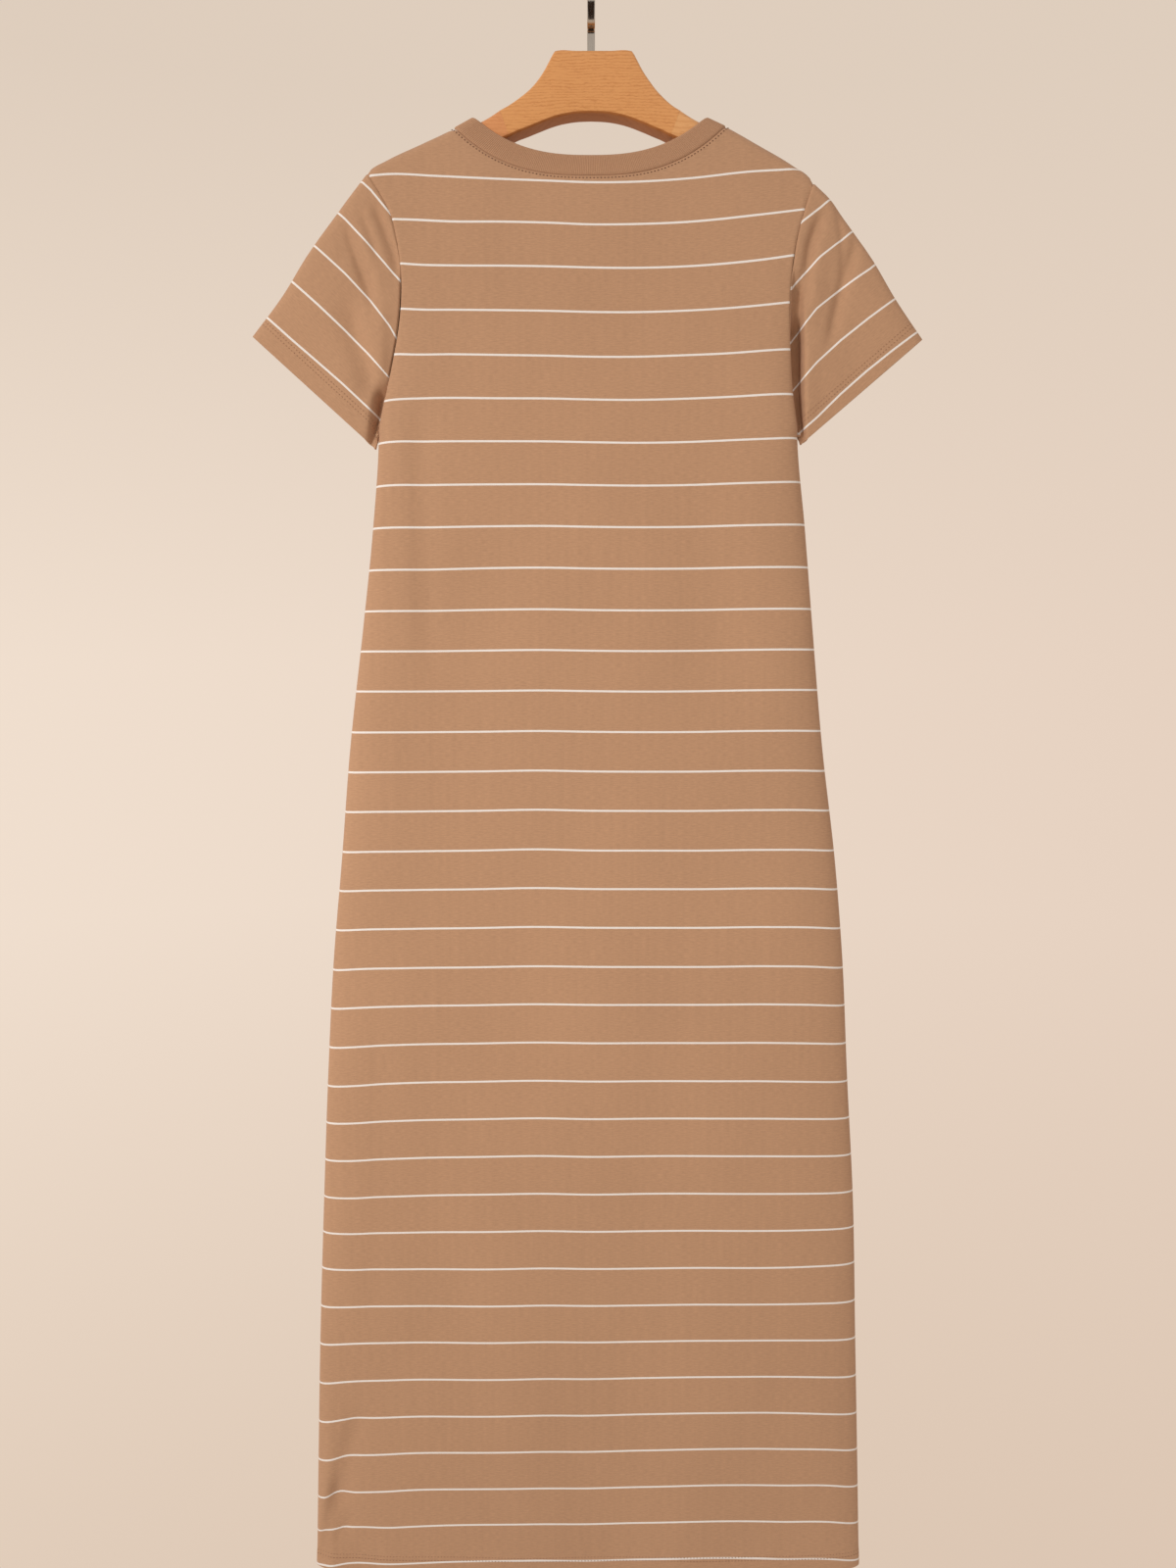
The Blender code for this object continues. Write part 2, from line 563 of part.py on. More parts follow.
def band_edge(edges):
    """A neck band's edge as a ring of front view places: the back from -X to +X, then the front."""
    ring = []
    for face in (BACK, FRONT):
        left = neck_columns(-1, edges[face])
        right = neck_columns(1, edges[face])
        x = np.concatenate([left, right[-2::-1]])
        z = neck_edge_z(edges[face], x)
        z[NECK_COLUMNS + ROUND_STEPS] = edges[face].centre_z
        y = surface_y(face, x, z)
        y[0] = 0.0
        y[-1] = 0.0
        line = np.stack([x, y, z], axis=-1)
        ring.append(line if face == BACK else line[-2:0:-1])
    return np.concatenate(ring)


def seam_normals(panels):
    """The panels' own normals along the neck seam, in the order of band_edge."""
    back = panel_normals(BACK, panels[BACK])[0, neck_slice(panels[BACK])]
    front = panel_normals(FRONT, panels[FRONT])[0, neck_slice(panels[FRONT])]
    return np.concatenate([back, front[-2:0:-1]])


def build_neck_band(name, panels, material):
    seam = band_edge(NECK_SEAM)
    rim = band_edge(NECK_RIM)
    toward_rim = rim - seam
    toward_rim /= np.linalg.norm(toward_rim, axis=1)[:, None]
    seam = seam + toward_rim * SEAM_GAP / 2
    points = np.array([seam, (seam + rim) / 2, rim])
    normals = -grid_normals(points, closed=True)
    normals[0] = seam_normals(panels)
    outer = points + RIB_PROUD * normals
    return wall_object(name, outer, outer - RIB_WALL * normals, True, material)


# ---------------------------------------------------------------- hanger and hook
def wood_ring(row, slope_top, slope_bottom, side):
    """One upright section of the hanger: a rectangle with rounded edges."""
    ring = []
    corners = [(1, 1, slope_top), (1, -1, slope_bottom), (-1, -1, slope_bottom), (-1, 1, slope_top)]
    for across, up, slope in corners:
        rise = min(row.edge / math.cos(math.atan(slope)), (row.top - row.bottom) * WOOD_EDGE_LIMIT)
        for step in range(WOOD_CORNER_STEPS + 1):
            angle = step / WOOD_CORNER_STEPS * math.pi / 2
            if across * up < 0:
                angle = math.pi / 2 - angle
            y = across * (WOOD_HALF_THICKNESS - row.edge * (1.0 - math.sin(angle)))
            inset = rise * (1.0 - math.cos(angle))
            z = row.top - inset if up > 0 else row.bottom + inset
            ring.append((side * row.x, y, z))
    return ring


def wood_slopes(rows, key):
    return np.gradient([getattr(row, key) for row in rows], [row.x for row in rows])


def loft_object(name, rings, material, sharp_angle=40.0):
    """A solid through rings of points, closed by a flat face at each end."""
    bm = bmesh.new()
    loops = [[bm.verts.new(point) for point in ring] for ring in rings]
    count = len(loops[0])
    for lower, upper in zip(loops, loops[1:]):
        for j in range(count):
            k = (j + 1) % count
            bm.faces.new((lower[j], lower[k], upper[k], upper[j]))
    bm.faces.new(loops[0])
    bm.faces.new(loops[-1])
    return mesh_object(name, bm, material, sharp_angle)


def build_hanger(material):
    top_slopes = wood_slopes(CENTRE_WOOD, "top")
    bottom_slopes = wood_slopes(CENTRE_WOOD, "bottom")
    half = [(row, top_slopes[i], bottom_slopes[i]) for i, row in enumerate(CENTRE_WOOD)]
    rings = [wood_ring(row, a, b, -1) for row, a, b in reversed(half[1:])]
    rings += [wood_ring(row, a, b, 1) for row, a, b in half]
    centre = loft_object("hanger_centre", rings, material)
    cut_bore(centre)
    top_slopes = wood_slopes(ARM_WOOD, "top")
    bottom_slopes = wood_slopes(ARM_WOOD, "bottom")
    for name, side in (("hanger_arm_left", -1), ("hanger_arm_right", 1)):
        rings = [wood_ring(row, top_slopes[i], bottom_slopes[i], side) for i, row in enumerate(ARM_WOOD)]
        arm = loft_object(name, rings, material)
        arm.location.x = side * SEAM_GAP


def cut_bore(wood):
    """The blind hole that the hook's shank turns in."""
    bm = bmesh.new()
    bmesh.ops.create_cone(bm, cap_ends=True, segments=BORE_SIDES, radius1=BORE_RADIUS,
                          radius2=BORE_RADIUS, depth=2 * BORE_DEPTH)
    mesh = bpy.data.meshes.new("bore_cutter")
    bm.to_mesh(mesh)
    bm.free()
    cutter = bpy.data.objects.new("bore_cutter", mesh)
    cutter.location.z = WOOD_TOP_Z
    cutter.hide_render = True
    cutter.display_type = "WIRE"
    bpy.context.scene.collection.objects.link(cutter)
    cut = wood.modifiers.new("Bore", "BOOLEAN")
    cut.object = cutter
    cut.operation = "DIFFERENCE"


def hook_path():
    """The strip's middle line in the YZ plane: shank, gooseneck bend, and the loop over the rail."""
    loop_z = -(HOOK_LOOP_RADIUS - HOOK_STRIP_THICKNESS / 2)
    reach = HOOK_LOOP_RADIUS + HOOK_BEND_RADIUS
    bend_z = loop_z - math.sqrt(reach ** 2 - HOOK_BEND_RADIUS ** 2)
    bottom_z = WOOD_TOP_Z - BORE_DEPTH + SEAM_GAP
    swing = math.atan2(loop_z - bend_z, HOOK_BEND_RADIUS)
    collar_z = WOOD_TOP_Z + SEAM_GAP
    path = [(0.0, bottom_z)]
    path += [(0.0, collar_z + rise) for rise in HOOK_COLLAR_RISES]
    for step in range(HOOK_BEND_STEPS + 1):
        angle = swing * step / HOOK_BEND_STEPS
        path.append((-HOOK_BEND_RADIUS + HOOK_BEND_RADIUS * math.cos(angle),
                     bend_z + HOOK_BEND_RADIUS * math.sin(angle)))
    start = math.pi + swing
    end = math.radians(HOOK_TIP_ANGLE)
    for step in range(1, HOOK_LOOP_STEPS + 1):
        angle = start + (end - start) * step / HOOK_LOOP_STEPS
        path.append((HOOK_LOOP_RADIUS * math.cos(angle), loop_z + HOOK_LOOP_RADIUS * math.sin(angle)))
    return path


def hook_half_sizes(count):
    """Half width and half thickness along the path: round shank, collar, then the flat strip."""
    shank = (HOOK_SHANK_RADIUS, HOOK_SHANK_RADIUS)
    collar = (HOOK_COLLAR_RADIUS, HOOK_COLLAR_RADIUS)
    strip = (HOOK_STRIP_WIDTH / 2, HOOK_STRIP_THICKNESS / 2)
    tip = (strip[0] * HOOK_TIP_SHARE, strip[1] * HOOK_TIP_SHARE)
    sizes = [shank, shank, collar, collar, (HOOK_STRIP_WIDTH / 2, HOOK_NECK_THICKNESS / 2)]
    return sizes + [strip] * (count - len(sizes) - 1) + [tip]


def build_hook(name, material):
    path = np.array(hook_path())
    tangents = np.gradient(path, axis=0)
    tangents[:len(HOOK_COLLAR_RISES)] = (0.0, 1.0)
    tangents /= np.linalg.norm(tangents, axis=1)[:, None]
    rings = []
    for (y, z), (ty, tz), (width, thickness) in zip(path, tangents, hook_half_sizes(len(path))):
        squareness = 1.0 if width == thickness else HOOK_STRIP_SQUARENESS
        ring = []
        for j in range(HOOK_SIDES):
            angle = 2 * math.pi * (j + 0.5) / HOOK_SIDES
            across = math.copysign(abs(math.cos(angle)) ** squareness, math.cos(angle)) * width
            out = math.copysign(abs(math.sin(angle)) ** squareness, math.sin(angle)) * thickness
            ring.append((across, y - out * tz, z + out * ty))
        rings.append(ring)
    return loft_object(name, rings, material, sharp_angle=35.0)


def main():
    for thing in list(bpy.data.objects):
        bpy.data.objects.remove(thing)
    jersey = principled("jersey", (0.485, 0.262, 0.148), 0.9)
    rib = principled("rib", (0.400, 0.212, 0.117), 0.9)
    wood = principled("wood", (0.630, 0.283, 0.102), 0.45)
    chrome = principled("chrome", (0.72, 0.72, 0.72), 0.2, 1.0)
    panels = {face: panel_points(face) for face in (BACK, FRONT)}
    build_panel(BACK, panels[BACK], jersey)
    build_panel(FRONT, panels[FRONT], jersey)
    build_sleeve("sleeve_left", -1, panels, jersey)
    build_sleeve("sleeve_right", 1, panels, jersey)
    build_neck_band("neck_band", panels, rib)
    build_hanger(wood)
    build_hook("hanger_hook", chrome)


main()
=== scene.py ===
"""Looks of the striped T-shirt dress on its wooden hanger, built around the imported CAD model.

Frame: metres, +Z up, the garment's back towards -Y, where the camera stands, and its left sleeve
as seen from there at -X. The origin is the point inside the top of the hook that bears on a rail.
The cloth repeats the CAD's surface from the same named values, on a finer grid with its creases,
seams, hems and stripes. Stripes are cut into the grid as faces of their own.
"""
import math
from collections import namedtuple

import bmesh
import bpy
import numpy as np
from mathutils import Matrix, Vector
from mathutils.kdtree import KDTree

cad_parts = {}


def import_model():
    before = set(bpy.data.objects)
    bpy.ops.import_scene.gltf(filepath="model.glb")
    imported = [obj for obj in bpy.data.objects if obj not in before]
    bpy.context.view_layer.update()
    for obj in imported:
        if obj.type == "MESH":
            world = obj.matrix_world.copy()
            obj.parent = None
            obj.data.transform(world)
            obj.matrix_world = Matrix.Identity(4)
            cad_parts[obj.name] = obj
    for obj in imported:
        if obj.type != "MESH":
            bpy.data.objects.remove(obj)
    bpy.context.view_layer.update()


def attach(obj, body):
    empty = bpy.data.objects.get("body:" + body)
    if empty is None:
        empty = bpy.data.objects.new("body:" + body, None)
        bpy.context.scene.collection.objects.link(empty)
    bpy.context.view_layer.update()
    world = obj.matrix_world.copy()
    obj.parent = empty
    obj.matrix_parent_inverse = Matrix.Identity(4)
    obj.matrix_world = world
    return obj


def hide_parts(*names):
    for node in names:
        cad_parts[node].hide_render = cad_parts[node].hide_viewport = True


# ---------------------------------------------------------------- driving dimensions, metres
WALL = 0.0016                 # knitted cloth, drawn a little thicker than the real jersey
RIB_WALL = 0.0020             # doubled rib of the neck band
RIB_PROUD = 0.0005            # how far the rib stands out of the panels
SEAM_GAP = 0.0003             # between sewn pieces
HEM_Z = -1.5080
ARMPIT_Z = -0.3900
NECK_POINT = 0.1226           # half width where the shoulder seams meet the neck seam
# half width and height of the shoulder seams' far ends
SHOULDER_END = {-1: (0.2009, -0.1593), 1: (0.2016, -0.1675)}
RIDGE_DROP = 0.0100           # height in which the cloth rounds over a hanger arm
FOLD_START_Z = -0.2200        # no folds above this, where the cloth bears on the hanger
FOLD_FADE = 0.1000

WOOD_HALF_THICKNESS = 0.0110
WOOD_TOP_Z = -0.0565
WOOD_JOINT_X = 0.0765
BACK = -1
FRONT = 1

# ---------------------------------------------------------------- tables, one row per section
Section = namedtuple("Section", "z left right depth squareness")
BODY_SECTIONS = [Section(*row) for row in [
    (-1.508, 0.2767, 0.2732, 0.0150, 9.0),
    (-1.400, 0.2731, 0.2694, 0.0160, 9.0),
    (-1.270, 0.2684, 0.2645, 0.0172, 8.5),
    (-1.120, 0.2613, 0.2588, 0.0184, 8.0),
    (-1.000, 0.2549, 0.2507, 0.0190, 8.0),
    (-0.880, 0.2467, 0.2434, 0.0195, 8.0),
    (-0.790, 0.2376, 0.2348, 0.0195, 8.0),
    (-0.676, 0.2268, 0.2200, 0.0190, 8.0),
    (-0.566, 0.2128, 0.2090, 0.0182, 9.0),
    (-0.475, 0.2020, 0.2003, 0.0174, 10.0),
    (-0.390, 0.1951, 0.1917, 0.0166, 13.0),
    (-0.330, 0.1951, 0.1917, 0.0158, 13.0),
    (-0.270, 0.1951, 0.1917, 0.0142, 12.0),
    (-0.215, 0.1951, 0.1917, 0.0130, 12.0),
    (-0.060, 0.1951, 0.1917, 0.0130, 12.0),
]]

Armhole = namedtuple("Armhole", "z left right depth")
ARMHOLE_SEAM = [Armhole(*row) for row in [
    (-0.390, 0.1951, 0.1917, 0.0000),
    (-0.386, 0.1946, 0.1914, 0.0028),
    (-0.375, 0.1926, 0.1899, 0.0048),
    (-0.352, 0.1867, 0.1862, 0.0066),
    (-0.326, 0.1805, 0.1838, 0.0084),
    (-0.300, 0.1752, 0.1823, 0.0102),
    (-0.270, 0.1718, 0.1820, 0.0118),
    (-0.240, 0.1717, 0.1838, 0.0127),
    (-0.215, 0.1752, 0.1875, 0.0130),
    (-0.196, 0.1798, 0.1922, 0.0130),
    (-0.180, 0.1882, 0.1970, 0.0130),
    (-0.1675, 0.1960, 0.2016, 0.0130),
    (-0.1593, 0.2009, 0.2034, 0.0130),
]]

Ridge = namedtuple("Ridge", "x left right")
SHOULDER_RIDGE = [Ridge(*row) for row in [
    (0.0000, -0.0590, -0.0590),
    (0.0600, -0.0885, -0.0895),
    (0.1054, -0.1115, -0.1115),
    (0.1226, -0.1206, -0.1192),
    (0.1500, -0.1330, -0.1338),
    (0.1831, -0.1478, -0.1525),
    (0.1980, -0.1562, -0.1628),
    (0.2060, -0.1650, -0.1740),
]]

NeckEdge = namedtuple("NeckEdge", "half_width centre_z power fullness")
NECK_SEAM = {
    BACK: NeckEdge(NECK_POINT, -0.1634, 2.69, 0.96),
    FRONT: NeckEdge(NECK_POINT, -0.2105, 2.2, 0.80),
}
NECK_RIM = {
    BACK: NeckEdge(0.1054, -0.1464, 2.57, 0.92),
    FRONT: NeckEdge(0.1054, -0.1920, 2.2, 0.80),
}

SleeveFold = namedtuple("SleeveFold", "t left_x left_z right_x right_z depth")
SLEEVE_RIDGE = [SleeveFold(*row) for row in [
    (0.00, 0.2009, -0.1593, 0.2016, -0.1675, 0.0138),
    (0.12, 0.2146, -0.1757, 0.2168, -0.1810, 0.0135),
    (0.25, 0.2290, -0.1940, 0.2303, -0.1990, 0.0126),
    (0.50, 0.2565, -0.2290, 0.2566, -0.2330, 0.0106),
    (0.75, 0.2813, -0.2662, 0.2798, -0.2691, 0.0088),
    (1.00, 0.3092, -0.3012, 0.3048, -0.3038, 0.0074),
]]
SLEEVE_CORNER = {-1: (0.1975, -0.4025), 1: (0.1943, -0.3984)}

Fold = namedtuple("Fold", "face x z lean length width height")
FOLDS = [Fold(*row) for row in [
    (BACK, -0.262, -1.480, 0.0, 0.110, 0.010, 0.0050),
    (BACK, -0.235, -1.490, 0.0, 0.140, 0.022, -0.0030),
    (BACK, -0.070, -1.330, -3.0, 0.300, 0.050, 0.0040),
    (BACK, 0.120, -1.360, 4.0, 0.280, 0.055, 0.0035),
    (BACK, 0.020, -0.900, 1.0, 0.340, 0.075, 0.0030),
    (BACK, -0.110, -0.560, 14.0, 0.130, 0.040, -0.0030),
    (BACK, 0.115, -0.570, -14.0, 0.130, 0.040, -0.0030),
    (FRONT, -0.130, -1.350, -5.0, 0.300, 0.060, 0.0045),
    (FRONT, 0.080, -1.300, 3.0, 0.320, 0.055, 0.0040),
    (FRONT, 0.240, -1.460, 0.0, 0.130, 0.018, -0.0030),
    (FRONT, -0.010, -0.850, 1.0, 0.320, 0.080, 0.0035),
    (FRONT, -0.105, -0.520, 16.0, 0.140, 0.040, -0.0030),
    (FRONT, 0.105, -0.530, -16.0, 0.140, 0.040, -0.0030),
]]

SleeveCrease = namedtuple("SleeveCrease", "side t s width_t width_s height")
SLEEVE_CREASES = [SleeveCrease(*row) for row in [
    (-1, 0.30, 0.34, 0.22, 0.075, -0.0026),
    (-1, 0.62, 0.62, 0.30, 0.120, 0.0016),
    (1, 0.28, 0.30, 0.24, 0.085, -0.0026),
    (1, 0.60, 0.60, 0.30, 0.120, 0.0016),
]]

Wood = namedtuple("Wood", "x top bottom edge")
CENTRE_WOOD = [Wood(*row) for row in [
    (0.0000, -0.0565, -0.1092, 0.0026),
    (0.0150, -0.0565, -0.1100, 0.0026),
    (0.0328, -0.0565, -0.1136, 0.0026),
    (0.0344, -0.0569, -0.1141, 0.0026),
    (0.0356, -0.0585, -0.1145, 0.0026),
    (0.0394, -0.0652, -0.1158, 0.0026),
    (0.0435, -0.0726, -0.1174, 0.0026),
    (0.0490, -0.0806, -0.1195, 0.0026),
    (0.0549, -0.0878, -0.1219, 0.0026),
    (0.0630, -0.0954, -0.1254, 0.0028),
    (0.0730, -0.1029, -0.1299, 0.0030),
    (WOOD_JOINT_X, -0.1048, -0.1314, 0.0033),
]]
ARM_WOOD = [Wood(*row) for row in [
    (WOOD_JOINT_X, -0.1048, -0.1314, 0.0033),
    (0.0856, -0.1100, -0.1356, 0.0045),
    (0.1014, -0.1171, -0.1430, 0.0075),
    (0.1180, -0.1228, -0.1504, 0.0090),
    (0.1306, -0.1270, -0.1558, 0.0090),
    (0.1500, -0.1367, -0.1640, 0.0090),
    (0.1700, -0.1478, -0.1722, 0.0090),
    (0.1831, -0.1554, -0.1770, 0.0088),
    (0.1880, -0.1596, -0.1768, 0.0080),
    (0.1905, -0.1640, -0.1748, 0.0050),
]]

# ---------------------------------------------------------------- curves and lines
def smooth_curve(knots, values, at):
    """A smooth curve through values at the knots, flat beyond its ends.

    Several rows of values are as many curves, each read at its own place."""
    slopes = np.gradient(values, knots, axis=-1)
    at = np.clip(at, knots[0], knots[-1])
    i = np.clip(np.searchsorted(knots, at) - 1, 0, len(knots) - 2)
    row = () if values.ndim == 1 else (np.arange(len(values)),)
    here, ahead = (*row, i), (*row, i + 1)
    span = knots[i + 1] - knots[i]
    t = (at - knots[i]) / span
    ends = values[here] * (1 + 2 * t) * (1 - t) ** 2 + values[ahead] * t * t * (3 - 2 * t)
    bends = slopes[here] * t * (1 - t) ** 2 - slopes[ahead] * t * t * (1 - t)
    return ends + span * bends


def table_curve(rows, key, value):
    """The smooth curve through two columns of a table."""
    ordered = sorted(rows, key=lambda row: getattr(row, key))
    knots, values = (np.array([getattr(row, name) for row in ordered]) for name in (key, value))
    return lambda at: smooth_curve(knots, values, at)


def side_curves(rows, key):
    return {-1: table_curve(rows, key, "left"), 1: table_curve(rows, key, "right")}


def smoothstep(t):
    t = np.clip(t, 0.0, 1.0)
    return t * t * (3 - 2 * t)


def run_along(line):
    """How far along a line each of its points lies."""
    return np.concatenate([[0.0], np.cumsum(np.linalg.norm(np.diff(line, axis=0), axis=1))])


def points_at(at, run, line):
    """A line's points at these distances along it."""
    return np.stack([np.interp(at, run, column) for column in line.T], axis=-1)


def facing(normals, away):
    """The normals, or their opposites where most of them don't point this way."""
    return -normals if np.sum(normals * away) < 0 else normals


SIDE_SEAM = side_curves(BODY_SECTIONS, "z")
ARM_SEAM = side_curves(ARMHOLE_SEAM, "z")
RIDGE_LINE = side_curves(SHOULDER_RIDGE, "x")
body_depth = table_curve(BODY_SECTIONS, "z", "depth")
body_squareness = table_curve(BODY_SECTIONS, "z", "squareness")
seam_depth = table_curve(ARMHOLE_SEAM, "z", "depth")


# ---------------------------------------------------------------- the cloth's surface
def edge_half_width(side, z):
    """Half width of the panels: the side seam, and the armhole seam above the armpit."""
    return np.where(z > ARMPIT_Z, ARM_SEAM[side](z), SIDE_SEAM[side](z))


def half_width_at(x, z):
    return np.where(x < 0, edge_half_width(-1, z), edge_half_width(1, z))


def edge_rounding(x, z):
    """Share of the full depth at a place, from 1 in the middle to 0 at the side edges."""
    across = np.clip(np.abs(x) / half_width_at(x, z), 0.0, 1.0)
    return np.sqrt(1.0 - across ** body_squareness(z))


def ridge_height(x):
    return np.where(x < 0, RIDGE_LINE[-1](np.abs(x)), RIDGE_LINE[1](np.abs(x)))


def ridge_rounding(drop):
    """Share of the full depth this far below the ridge, where the cloth rounds over an arm."""
    drop = np.clip(drop / RIDGE_DROP, 0.0, 1.0)
    return np.sqrt(1.0 - (1.0 - drop) ** 2)


def fold_height(face, x, z):
    """Soft ridges and troughs, none on the stretch that bears on the hanger."""
    total = np.zeros_like(x)
    for fold in FOLDS:
        if fold.face != face:
            continue
        lean = math.radians(fold.lean)
        along = (z - fold.z) * math.cos(lean) + (x - fold.x) * math.sin(lean)
        across = (x - fold.x) * math.cos(lean) - (z - fold.z) * math.sin(lean)
        bump = np.exp(-(along / fold.length) ** 2 - (across / fold.width) ** 2)
        total = total + fold.height * bump
    return total * smoothstep((FOLD_START_Z - z) / FOLD_FADE)


def surface_y(face, x, z):
    """Outer surface of a panel at a place in the front view, as in the CAD."""
    edge = np.where(z > ARMPIT_Z, seam_depth(z), 0.0)
    depth = edge + (body_depth(z) - edge + fold_height(face, x, z)) * edge_rounding(x, z)
    return face * depth * ridge_rounding(ridge_height(x) - z)


def neck_edge_z(edge, x):
    """Height of a neckline: from its centre up to the shoulder ridge."""
    top = ridge_height(np.sign(x) * edge.half_width)
    share = np.clip(np.abs(x) / edge.half_width, 0.0, 1.0)
    return top + (edge.centre_z - top) * (1.0 - share ** edge.power) ** edge.fullness


def neck_line(edges, face, share):
    """Points of one face's neckline at shares of its half width."""
    x = edges[face].half_width * share
    z = neck_edge_z(edges[face], x)
    y = surface_y(face, x, z)
    y[[0, -1]] = 0.0
    return np.stack([x, y, z], axis=-1)


# ---------------------------------------------------------------- the cloth's finer surface
STRIPE_SHARES = np.array([-1.0, -0.9, -0.7, -0.45, -0.2, 0.0, 0.2, 0.45, 0.7, 0.9, 1.0])
# How far a stripe lies above its middle, in millimetres, at those shares of the half width, by
# the height of its middle.
STRIPE_WAVES = {
    -0.1699: [5.6, 7.0, 5.4, 3.2, 1.4, 0.0, 0.4, 3.5, 9.0, 11.5, 13.6],
    -0.2063: [4.4, 3.7, 2.3, 2.3, 1.4, 0.0, 0.2, 1.9, 5.8, 10.4, 12.8],
    -0.2439: [3.7, 2.4, 1.7, 1.5, 0.9, 0.0, -0.4, 0.7, 3.8, 7.6, 10.2],
    -0.3226: [3.3, 2.2, 2.2, 1.6, 0.9, 0.0, -0.1, 1.2, 3.2, 6.0, 7.4],
    -0.3605: [-0.1, 0.7, 1.4, 1.1, 0.9, 0.0, -0.4, 0.6, 2.5, 4.8, 5.8],
    -0.3986: [0.6, 1.1, 0.9, 1.0, 0.8, 0.0, -0.5, 0.2, 2.1, 3.9, 5.3],
    -0.5124: [-1.0, -1.0, -0.8, 0.5, 0.8, 0.0, -0.3, 0.1, 1.1, 1.6, 1.8],
    -0.6249: [-0.6, -0.5, -0.4, 0.0, 0.6, 0.0, -0.4, -0.2, 0.7, 1.0, 0.7],
    -0.7740: [-4.0, -2.5, -1.3, -0.4, 0.9, 0.0, -0.1, -0.4, 0.1, -0.7, -2.6],
    -0.8853: [-7.3, -4.2, -2.1, -1.1, 0.2, 0.0, -0.2, -0.6, -0.2, -2.1, -5.2],
    -0.9974: [-10.5, -7.2, -2.8, -0.9, 0.5, 0.0, 0.2, -0.3, -0.8, -3.1, -5.4],
    -1.1104: [-9.4, -7.1, -3.1, -0.5, 1.1, 0.0, 0.7, 0.7, -0.1, -1.7, -3.4],
    -1.1861: [-6.3, -4.2, -1.6, -0.5, 1.2, 0.0, 0.3, 1.5, 0.6, 0.3, -0.8],
    -1.2620: [-9.3, -4.9, -1.4, -0.4, 1.5, 0.0, 0.8, 2.8, 1.6, -0.9, -3.3],
    -1.3387: [-14.2, -7.7, -2.6, -1.0, 1.7, 0.0, 1.5, 4.3, 2.5, -1.7, -5.7],
    -1.4159: [-18.2, -11.2, -3.7, -1.0, 1.7, 0.0, 1.6, 5.0, 2.6, -0.4, -6.4],
    -1.4543: [-18.4, -9.9, -4.6, -1.0, 1.7, 0.0, 1.6, 4.5, 1.9, -1.1, -7.4],
    -1.4935: [-13.6, -8.0, -4.7, -1.0, 1.7, 0.0, 1.6, 4.0, 1.1, -1.8, -8.3],
}
STRIPE_HEIGHTS = [
    -0.1285, -0.1699, -0.2063, -0.2439, -0.2830, -0.3226, -0.3605, -0.3986, -0.4370, -0.4746,
    -0.5124, -0.5503, -0.5876, -0.6249, -0.6626, -0.6996, -0.7365, -0.7740, -0.8106, -0.8476,
    -0.8853, -0.9222, -0.9597, -0.9974, -1.0347, -1.0724, -1.1104, -1.1481, -1.1861, -1.2242,
    -1.2620, -1.3003, -1.3387, -1.3770, -1.4159, -1.4543, -1.4935,
]
STRIPE_HALF = 0.00092

# Sleeve stripes in the front view: how far each lies inside the sleeve's hem line, in millimetres,
# at these distances from the ridge along the hem.
SLEEVE_REACH = np.array([0.0, 0.030, 0.060, 0.090, 0.120])
SLEEVE_STRIPES = {
    -1: np.array([
        [-167.8, -163.7, -163.0, -162.0, -161.0], [-133.6, -131.2, -127.5, -124.8, -124.0],
        [-98.0, -98.1, -96.0, -90.4, -80.0], [-60.8, -61.1, -60.7, -59.2, -56.2],
        [-21.5, -21.8, -22.7, -23.4, -23.1]]) / 1000,
    1: np.array([
        [-148.6, -150.4, -150.0, -149.0, -148.0], [-114.6, -116.0, -112.7, -105.0, -100.0],
        [-78.9, -82.5, -83.3, -77.3, -68.0], [-44.1, -46.4, -47.6, -46.6, -42.1],
        [-8.1, -10.2, -11.3, -10.9, -8.9]]) / 1000,
}
SLEEVE_PITCH = 0.0375

# Lines of soft folds in the front view, each run from its top down. Its section falls off over one
# width towards -X (towards the body on a sleeve) and another beyond, more steeply at a high power.
Crease = namedtuple("Crease", "points before after height power", defaults=[2])
BODY_CREASES = {
    BACK: [
        Crease([(-0.156, -0.330), (-0.154, -0.420), (-0.152, -0.520), (-0.150, -0.640)],
               0.013, 0.014, -0.0021),
        Crease([(-0.199, -0.900), (-0.203, -1.020), (-0.210, -1.130), (-0.218, -1.290)],
               0.013, 0.020, -0.0012),
        Crease([(-0.2270, -1.325), (-0.2400, -1.375), (-0.2510, -1.415), (-0.2620, -1.460)],
               0.008, 0.012, -0.0030),
        Crease([(-0.2490, -1.400), (-0.2580, -1.437), (-0.2665, -1.475), (-0.2750, -1.520)],
               0.006, 0.014, -0.0080),
        Crease([(-0.2340, -1.440), (-0.2470, -1.463), (-0.2600, -1.485)], 0.004, 0.006, -0.0024),
    ],
    FRONT: [
        Crease([(0.172, -0.395), (0.166, -0.500), (0.155, -0.620)], 0.014, 0.008, -0.0020),
        Crease([(-0.160, -0.410), (-0.152, -0.480), (-0.140, -0.560)], 0.010, 0.016, -0.0016),
        Crease([(0.222, -1.290), (0.236, -1.400), (0.250, -1.520)], 0.012, 0.008, -0.0030),
    ],
}
